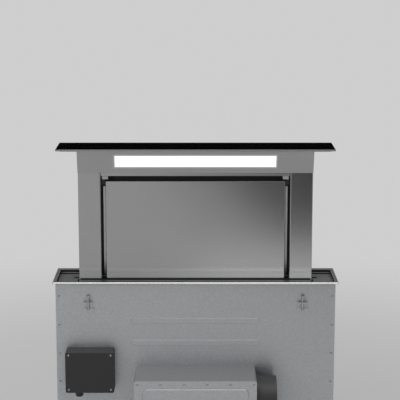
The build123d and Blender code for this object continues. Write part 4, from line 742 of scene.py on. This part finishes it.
def grown(name, tree, values, points, facings=()):
    """The plain mesh that a Geometry Nodes tree makes, with its inputs set by their identifiers."""
    seed_mesh = bpy.data.meshes.new(name + "_points")
    seed_mesh.from_pydata([tuple(point) for point in points], [], [])
    if facings:
        attribute = seed_mesh.attributes.new("facing", "FLOAT_VECTOR", "POINT")
        attribute.data.foreach_set("vector", [part for facing in facings for part in facing])
    holder = placed(name + "_points", seed_mesh)
    modifier = holder.modifiers.new("nodes", "NODES")
    modifier.node_group = tree
    for item in tree.interface.items_tree:
        if item.item_type == "SOCKET" and item.in_out == "INPUT" and item.name in values:
            modifier[item.identifier] = values[item.name]
    mesh = baked(name, holder)
    bpy.data.meshes.remove(seed_mesh)
    if not mesh.polygons:
        raise RuntimeError(f"{name} came out empty")
    return mesh


def heads(name, body, kind, places, finish_name="machined_steel"):
    """Screw, bolt or rivet heads on one body. places are pairs of a point and the way that the head faces."""
    s = bpy.context.scene.vent_sizes
    washer = s.bolt_radius * WASHER_SHARE
    sides, *shape = {
        "screw": (ROUND_SIDES, s.screw_radius, s.screw_height, 0.66, 0.55, 0.0, 0.0),
        "bolt": (HEXAGON_SIDES, s.bolt_radius, s.bolt_height, 0.94, 0.0, washer, WASHER_HEIGHT),
        "rivet": (ROUND_SIDES, s.rivet_radius, s.rivet_height, 0.62, 0.0, 0.0, 0.0),
    }[kind]
    values = dict(zip(HEAD_SHAPE, shape), Sides=sides, Seed=s.turn_seed, Finish=finish(finish_name))
    points, facings = zip(*places)
    mesh = grown(name, group("fastener_heads"), values, points, facings)
    link_piece(name, mesh, body)


def steps(low, high, count):
    """Evenly spaced values from low to high."""
    return [low + (high - low) * index / (count - 1) for index in range(count)]


def rows(across, y, up, facing):
    """Places for heads on an upright sheet: at every X of across and Z of up, X by X."""
    return [((x, y, z), facing) for x in across for z in up]


def closed(name, shape):
    """A mesh from a finished bmesh."""
    mesh = bpy.data.meshes.new(name)
    shape.to_mesh(mesh)
    shape.free()
    return mesh


def strips_mesh(name, boxes, bevel):
    """Straight strips, each a box between two corners with rounded edges, as one mesh."""
    shape = bmesh.new()
    for low, high in boxes:
        middle = (Vector(low) + Vector(high)) / 2
        size = Vector(high) - Vector(low)
        corners = bmesh.ops.create_cube(shape, size=1.0)["verts"]
        for vertex in corners:
            vertex.co = middle + Vector(a * b for a, b in zip(vertex.co, size))
        edges = list({edge for vertex in corners for edge in vertex.link_edges})
        bmesh.ops.bevel(shape, geom=edges, offset=bevel, segments=2, affect="EDGES")
    return closed(name, shape)


def wire_mesh(name, points, radius):
    """A round wire bent through points, as a mesh."""
    curve = bpy.data.curves.new(name, "CURVE")
    curve.dimensions = "3D"
    curve.bevel_depth = radius
    curve.bevel_resolution = 3
    curve.use_fill_caps = True
    spline = curve.splines.new("BEZIER")
    spline.bezier_points.add(len(points) - 1)
    for point, place in zip(spline.bezier_points, points):
        point.co = place
        point.handle_left_type = point.handle_right_type = "AUTO"
    return baked(name, placed(name, curve))


def channel_mesh(name, low, high, lip, sheet=0.0008):
    """A pressed stiffener that stands proud of a sheet, towards +Y, with a lip at both long sides."""
    shape = bmesh.new()
    slope = (high[1] - low[1]) * 0.7
    profile = [
        (low[0], low[1]),
        (low[0], low[1] + sheet),
        (low[0] + lip, low[1] + sheet),
        (low[0] + lip + slope, high[1]),
        (high[0] - lip - slope, high[1]),
        (high[0] - lip, low[1] + sheet),
        (high[0], low[1] + sheet),
        (high[0], low[1]),
    ]
    foot, top = [[shape.verts.new((x, y, z)) for x, y in profile] for z in (low[2], high[2])]
    for index in range(len(profile)):
        after = (index + 1) % len(profile)
        shape.faces.new((foot[index], foot[after], top[after], top[index]))
    shape.faces.new(foot)
    shape.faces.new(top)
    bmesh.ops.recalc_face_normals(shape, faces=shape.faces[:])
    return closed(name, shape)


# ---------------------------------------------------------------- operators
class VENT_OT_lid(bpy.types.Operator):
    """Finishes the glass lid, its carrier and the light"""

    bl_idname = "vent.lid"
    bl_label = "Lid and light"

    def execute(self, context):
        dress("black_glass", "glass_top")
        dress("galvanised", "glass_carrier")
        dress("header_steel", "light_header")
        dress("frosted_plastic", "led_bezel")
        dress("light_diffuser", "led_diffuser")
        dress("aluminium", "led_channel")
        dress("circuit_green", "led_board")
        low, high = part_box("light_header")
        end, foot, top = 0.03, 0.012, 0.014
        places = rows(steps(low.x + end, high.x - end, 7), high.y, (low.z + foot, high.z - top), REAR)
        heads("header_rear_screws", "column", "screw", places)
        return {"FINISHED"}


class VENT_OT_column(bpy.types.Operator):
    """Finishes the column's sheets, sill, suction gaps and foot"""

    bl_idname = "vent.column"
    bl_label = "Column"

    def execute(self, context):
        dress("brushed_steel", "left_pillar", "right_pillar", "column_back", "column_apron")
        dress("guide_steel", "air_guides")
        dress("sill_steel", "sill_strip")
        dress("dark_steel", "filter_plate")
        dress("black_rubber", "sill_seal")
        dress("grey_plastic", "corner_blocks")
        dress("catch_black", "catch_blocks")
        dress("blackened_steel", "hinge_pins")
        low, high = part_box("column_back")
        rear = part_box("left_pillar")[1].y
        edge, end = 0.006, 0.02
        places = []
        for z in steps(low.z + end, high.z - end, 9):
            places += rows((low.x + edge, high.x - edge), rear, [z], REAR)
        heads("column_back_rivets", "column", "rivet", places)
        return {"FINISHED"}


class VENT_OT_panel(bpy.types.Operator):
    """Finishes the suction panel and its stiffeners"""

    bl_idname = "vent.panel"
    bl_label = "Suction panel"

    def execute(self, context):
        dress("panel_steel", "front_panel")
        low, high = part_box("front_panel")
        face = low.y + THIN_SHEET
        half, end, depth, lip = 0.019, 0.03, 0.006, 0.005
        for index, middle in enumerate((-0.5, 0.0, 0.5)):
            x = middle * (high.x - low.x) / 2
            foot, top = (x - half, face, low.z + end), (x + half, face + depth, high.z - end)
            mesh = channel_mesh(f"panel_stiffener_{index + 1}", foot, top, lip)
            link_piece(mesh.name, mesh, "suction_panel", "panel_steel")
        return {"FINISHED"}


class VENT_OT_filters(bpy.types.Operator):
    """Finishes the grease filters and adds their rear baffles and wire handles"""

    bl_idname = "vent.filters"
    bl_label = "Grease filters"

    def execute(self, context):
        s = context.scene.vent_sizes
        dress("aluminium", "grease_filters")
        low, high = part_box("grease_filters")
        count, rim, lap, gap, sunk = 13, 0.012, 0.002, 0.001, 0.0022
        width = (high.x - low.x) / 2 - gap
        pitch = (width - 2 * rim) / count
        reach, top = low.y - 0.004, low.z + 0.62 * (high.z - low.z)
        for side, name in ((-1, "left"), (1, "right")):
            middle = side * (width / 2 + gap)
            values = {
                "Count": count,
                "First Centre": (middle - pitch * (count - 1) / 2, high.y - sunk, (low.z + high.z) / 2),
                "Step": (pitch, 0.0, 0.0),
                "Bar Size": (pitch / 2 + lap, s.slat_thickness, high.z - low.z - 2 * rim + lap),
                "Finish": finish("aluminium"),
            }
            mesh = grown(f"{name}_filter_baffles", group("bar_row"), values, [(0, 0, 0)])
            link_piece(mesh.name, mesh, "column")
            half = [(0.030, low.y + 0.001, top), (0.030, reach, top - 0.004), (0.024, reach, top - 0.020)]
            points = [(middle - x, y, z) for x, y, z in half] + [(middle, reach, top - 0.026)]
            points += [(middle + x, y, z) for x, y, z in reversed(half)]
            mesh = wire_mesh(f"{name}_filter_handle", points, s.handle_wire)
            link_piece(mesh.name, mesh, "column", "machined_steel")
        return {"FINISHED"}


class VENT_OT_frame(bpy.types.Operator):
    """Finishes the flush frame and its ledges and adds the seals in the opening"""

    bl_idname = "vent.frame"
    bl_label = "Flush frame"

    def execute(self, context):
        s = context.scene.vent_sizes
        dress("frame_steel", "top_frame")
        dress("black_rubber", "frame_seal")
        dress("ledge_steel", "left_ledge", "right_ledge")
        left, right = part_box("left_ledge"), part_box("right_ledge")
        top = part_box("top_frame")[1].z - 0.0003
        foot, wall = top - s.seal_height, s.seal_thickness
        west, east, south, north = left[0].x, right[1].x, left[0].y, left[1].y
        runs = [
            ((west, south, foot), (west + wall, north - wall, top)),
            ((east - wall, south, foot), (east, north - wall, top)),
            ((west, north - wall, foot), (east, north, top)),
        ]
        for low, high in (left, right):
            runs.append(((low.x, north - wall, high.z), (high.x, north, high.z + s.foot_seal)))
        mesh = strips_mesh("lid_seal", runs, wall * 0.3)
        link_piece("lid_seal", mesh, "housing", "black_rubber")
        return {"FINISHED"}


class VENT_OT_drive(bpy.types.Operator):
    """Finishes the racks, shaft, gears, shoes and lift motor"""

    bl_idname = "vent.drive"
    bl_label = "Lift drive"

    def execute(self, context):
        dress("machined_steel", "lift_racks", "cross_shaft", "rack_pinions", "shaft_gear", "motor_pinion")
        dress("aluminium", "guide_rails")
        dress("pale_nylon", "guide_shoes")
        dress("bronze", "shaft_bushes")
        dress("galvanised", "motor_mount")
        dress("motor_black", "gear_motor")
        dress("black_plastic", "limit_switches")
        low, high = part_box("gear_motor")
        middle_y, middle_z = (low.y + high.y) / 2, (low.z + high.z) / 2
        face, circle = low.x + 0.005, 0.011
        places = []
        for turn in range(4):
            angle = math.pi / 4 + turn * math.pi / 2
            place = (face, middle_y + circle * math.cos(angle), middle_z + circle * math.sin(angle))
            places.append((place, LEFT))
        heads("lift_motor_screws", "column", "screw", places)
        return {"FINISHED"}


class VENT_OT_casing(bpy.types.Operator):
    """Finishes the casing, its feet and clamps and adds their screws and bolts"""

    bl_idname = "vent.casing"
    bl_label = "Casing"

    def execute(self, context):
        dress("galvanised", "casing_front", "casing_back", "casing_left", "casing_right", "casing_bottom")
        dress("galvanised", "left_foot", "right_foot", "worktop_clamps")
        dress("machined_steel", "clamp_screws")
        low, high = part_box("casing_left")
        front, rear = low.y - SHEET, high.y + SHEET
        outer = -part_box("casing_front")[0].x
        rack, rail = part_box("lift_racks"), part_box("guide_rails")
        sheet_foot, sheet_top, corner, hem = 0.012, 0.035, 0.07, 0.006
        rack_edge, rack_end, rail_foot, rail_top = 0.008, 0.03, 0.14, 0.03
        screws = []
        for side in (-1, 1):
            for z in steps(low.z + sheet_foot, high.z - sheet_top, 7):
                screws.append(((side * (outer - INSET), front, z), FRONT))
                screws.append(((side * (outer - INSET), rear, z), REAR))
            along = steps(rack[0].z + rack_end, rack[1].z - rack_end, 4)
            screws += rows([side * (rack[1].x - rack_edge)], rear, along, REAR)
            along = steps(rail[0].z + rail_foot, rail[1].z - rail_top, 4)
            screws += rows([side * outer], (rail[0].y + rail[1].y) / 2, along, (side, 0, 0))
        for x in steps(-outer + corner, outer - corner, 7):
            screws.append(((x, front, low.z + hem), FRONT))
            screws.append(((x, rear, low.z + hem), REAR))
        heads("casing_screws", "housing", "screw", screws)
        foot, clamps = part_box("right_foot"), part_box("worktop_clamps")
        beside, above = 0.03, 0.06
        bolts = []
        for side in (-1, 1):
            for y in (-beside, beside):
                bolts.append(((side * foot[1].x, (low.y + high.y) / 2 + y, low.z + above), (side, 0, 0)))
        bracket, apart, middle, raised = 0.002, 0.0098, 0.015, 0.012
        for side in (-1, 1):
            for offset in (-apart, apart):
                x = side * (clamps[1].x - middle) + offset
                z = clamps[0].z + raised
                bolts.append(((x, front - bracket, z), FRONT))
                bolts.append(((x, rear + bracket, z), REAR))
        heads("casing_bolts", "housing", "bolt", bolts, "galvanised")
        return {"FINISHED"}


class VENT_OT_blower(bpy.types.Operator):
    """Finishes the blower, duct collar, flaps and fan and adds their screws"""

    bl_idname = "vent.blower"
    bl_label = "Blower"

    def execute(self, context):
        dress("galvanised", "blower_box", "blower_cover", "inlet_ring")
        dress("black_plastic", "fan_scroll", "outlet_transition", "outlet_collar", "impeller")
        dress("grey_plastic", "front_flap", "rear_flap")
        dress("machined_steel", "flap_pin")
        dress("motor_black", "fan_motor")
        low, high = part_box("blower_box")
        face = low.y - THIN_SHEET
        places = rows(steps(low.x + INSET, high.x - INSET, 6), face, (low.z + INSET, high.z - INSET), FRONT)
        corner, flange_y, flange_z = 0.08, 0.066, 0.070
        for z in steps(low.z + corner, high.z - corner, 3):
            places += rows((low.x + INSET, high.x - INSET), face, [z], FRONT)
        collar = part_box("outlet_collar")
        middle_y, middle_z = (collar[0].y + collar[1].y) / 2, (collar[0].z + collar[1].z) / 2
        for y in (-flange_y, flange_y):
            for z in (-flange_z, flange_z):
                places.append(((high.x + SHEET, middle_y + y, middle_z + z), RIGHT))
        heads("blower_screws", "housing", "screw", places)
        return {"FINISHED"}


class VENT_OT_control(bpy.types.Operator):
    """Finishes the control box, its board, cover and gland and adds the cover's screws"""

    bl_idname = "vent.control"
    bl_label = "Control box"

    def execute(self, context):
        dress("black_plastic", "control_box", "control_cover", "cable_gland")
        dress("circuit_green", "control_board")
        low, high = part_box("control_cover")
        places = rows((low.x + INSET, high.x - INSET), low.y, (low.z + INSET, high.z - INSET), FRONT)
        heads("control_cover_screws", "housing", "screw", places)
        return {"FINISHED"}


class VENT_OT_studio(bpy.types.Operator):
    """Sets the floor, the room, the lamps, the reflection cards and the camera"""

    bl_idname = "vent.studio"
    bl_label = "Studio"

    def execute(self, context):
        scene = context.scene
        s = scene.vent_stage
        scene.view_settings.view_transform = "Standard"
        self.floor(s)
        self.room(scene, s)
        self.lamp("overhead", place=(0.3, -0.6, 4.4), target=(0.0, 0.0, 0.0), side=5.0, power=s.key_power)
        self.lamp("left", place=(-3.2, -3.4, 1.8), target=(0.0, 0.0, 0.1), side=2.6, power=s.side_power)
        self.card("dark_card", DARK_CARD, s.dark_card)
        self.card("dim_card", DIM_CARD, s.dim_card)
        self.card("pale_card", PALE_CARD, s.pale_card)
        camera = bpy.data.cameras.new("camera")
        camera.sensor_width = 36.0
        camera.lens = s.lens
        camera.shift_x = s.shift
        camera.clip_end = 200.0
        holder = placed("camera", camera)
        holder.location = (0.0, -s.camera_distance, s.camera_height)
        holder.rotation_euler = (math.pi / 2 - s.camera_tilt, 0.0, 0.0)
        scene.camera = holder
        return {"FINISHED"}

    def seen_ray(self, tree):
        """1 for rays from the camera, from a reflection or through glass, else 0."""
        path = add(tree, "ShaderNodeLightPath").outputs
        which = maths(tree, "ADD", path["Is Camera Ray"], path["Is Glossy Ray"])
        return maths(tree, "ADD", which, path["Is Transmission Ray"], clamp=True)

    def flat(self, name, corners):
        """An object of one flat face."""
        mesh = bpy.data.meshes.new(name)
        mesh.from_pydata(corners, [], [tuple(range(len(corners)))])
        return placed(name, mesh)

    def evenly_lit(self, tree, colour):
        """The shader of one flat colour."""
        return add(tree, "ShaderNodeEmission", {"Color": shade(colour), "Strength": 1.0}).outputs[0]

    def floor(self, s):
        """A floor that keeps the shadow near the object and fades into the background's colour."""
        half, level = FLOOR_HALF, SOLID_LOW.z
        corners = [(-half, -half, level), (half, -half, level), (half, half, level), (-half, half, level)]
        floor = self.flat("floor", corners)
        material, tree, shader = blank("pale_floor")
        place = place_in(tree)
        two_tone(tree, shader, s.floor, noise_at(tree, place, 2.0, 3.0), 0.015)
        shader.inputs["Roughness"].default_value = 0.9
        shader.inputs["Specular IOR Level"].default_value = 0.1
        flat = vector_maths(tree, "MULTIPLY", place, (1.0, 1.0, 0.0))
        far = ramp(tree, vector_maths(tree, "LENGTH", flat, result="Value"), *FLOOR_FADE)
        share = times(tree, far, self.seen_ray(tree))
        plain = self.evenly_lit(tree, s.floor)
        mix = add(tree, "ShaderNodeMixShader", {0: share, 1: shader.outputs[0], 2: plain})
        tree.links.new(mix.outputs[0], tree.nodes["Material Output"].inputs["Surface"])
        floor.data.materials.append(material)

    def room(self, scene, s):
        """The room: pale up to eye level, then a dark band, then walls that differ in front and behind.

        The camera, reflections and glass see it. All other light from it is even.
        """
        world = bpy.data.worlds.new("room")
        world.use_nodes = True
        scene.world = world
        tree = world.node_tree
        tree.nodes.clear()
        way = split(tree, add(tree, "ShaderNodeTexCoord").outputs["Generated"])
        walls = blend(tree, ramp(tree, way["Y"], *ROOM_TURN), shade(s.window), shade(s.wall))
        upper = blend(tree, ramp(tree, way["Z"], *BAND_TOP), shade(s.band), walls)
        shown = blend(tree, ramp(tree, way["Z"], *EYE_LEVEL), shade(s.floor), upper)
        seen = add(tree, "ShaderNodeBackground", {"Color": shown, "Strength": 1.0}).outputs[0]
        inputs = {"Color": shade((1.0, 1.0, 1.0)), "Strength": s.ambient}
        lit = add(tree, "ShaderNodeBackground", inputs).outputs[0]
        mix = add(tree, "ShaderNodeMixShader", {0: self.seen_ray(tree), 1: lit, 2: seen})
        add(tree, "ShaderNodeOutputWorld", {0: mix.outputs[0]})

    def lamp(self, name, place, target, side, power):
        """A soft square lamp that points at target."""
        light = bpy.data.lights.new(name, "AREA")
        light.shape = "RECTANGLE"
        light.size = light.size_y = side
        light.energy = power
        holder = placed(name, light)
        holder.location = place
        aim = Vector(target) - Vector(place)
        holder.rotation_euler = aim.to_track_quat("-Z", "Y").to_euler()
        holder.visible_camera = False

    def card(self, name, outline, colour):
        """An upright card in front, from its corners across and up, which only reflections see."""
        card = self.flat(name, [(x, -CARD_DEPTH, z) for x, z in outline])
        material = bpy.data.materials.new(name)
        material.use_nodes = True
        tree = material.node_tree
        tree.nodes.clear()
        add(tree, "ShaderNodeOutputMaterial", {"Surface": self.evenly_lit(tree, colour)})
        card.data.materials.append(material)
        for ray in ("camera", "diffuse", "shadow", "transmission"):
            setattr(card, "visible_" + ray, False)


PIECE_OPERATORS = (
    VENT_OT_lid,
    VENT_OT_column,
    VENT_OT_panel,
    VENT_OT_filters,
    VENT_OT_frame,
    VENT_OT_drive,
    VENT_OT_casing,
    VENT_OT_blower,
    VENT_OT_control,
    VENT_OT_studio,
)


class VENT_PT_sidebar(bpy.types.Panel):
    """Lists the vent's operators and what they read"""

    bl_label = "Downdraft vent"
    bl_idname = "VENT_PT_sidebar"
    bl_space_type = "VIEW_3D"
    bl_region_type = "UI"
    bl_category = "Vent"

    def draw(self, context):
        layout = self.layout
        for operator in PIECE_OPERATORS:
            layout.operator(operator.bl_idname)
        for group_key, cls in SETTINGS.items():
            settings = getattr(context.scene, group_key)
            layout.label(text=cls.__doc__)
            for key in settings.bl_rna.properties.keys():
                if key not in ("rna_type", "name"):
                    layout.prop(settings, key)


SETTINGS = {"vent_colours": VentColours, "vent_sizes": VentSizes, "vent_stage": VentStage}
CLASSES = tuple(SETTINGS.values()) + PIECE_OPERATORS + (VENT_PT_sidebar,)


def register():
    for cls in CLASSES:
        bpy.utils.register_class(cls)
    for key, cls in SETTINGS.items():
        setattr(bpy.types.Scene, key, PointerProperty(type=cls))


def unregister():
    for key in SETTINGS:
        delattr(bpy.types.Scene, key)
    for cls in reversed(CLASSES):
        bpy.utils.unregister_class(cls)


def main():
    """Registers the add-on and makes every piece in order."""
    register()
    for operator in PIECE_OPERATORS:
        family, name = operator.bl_idname.split(".")
        getattr(getattr(bpy.ops, family), name)()


if __name__ == "__main__":
    main()
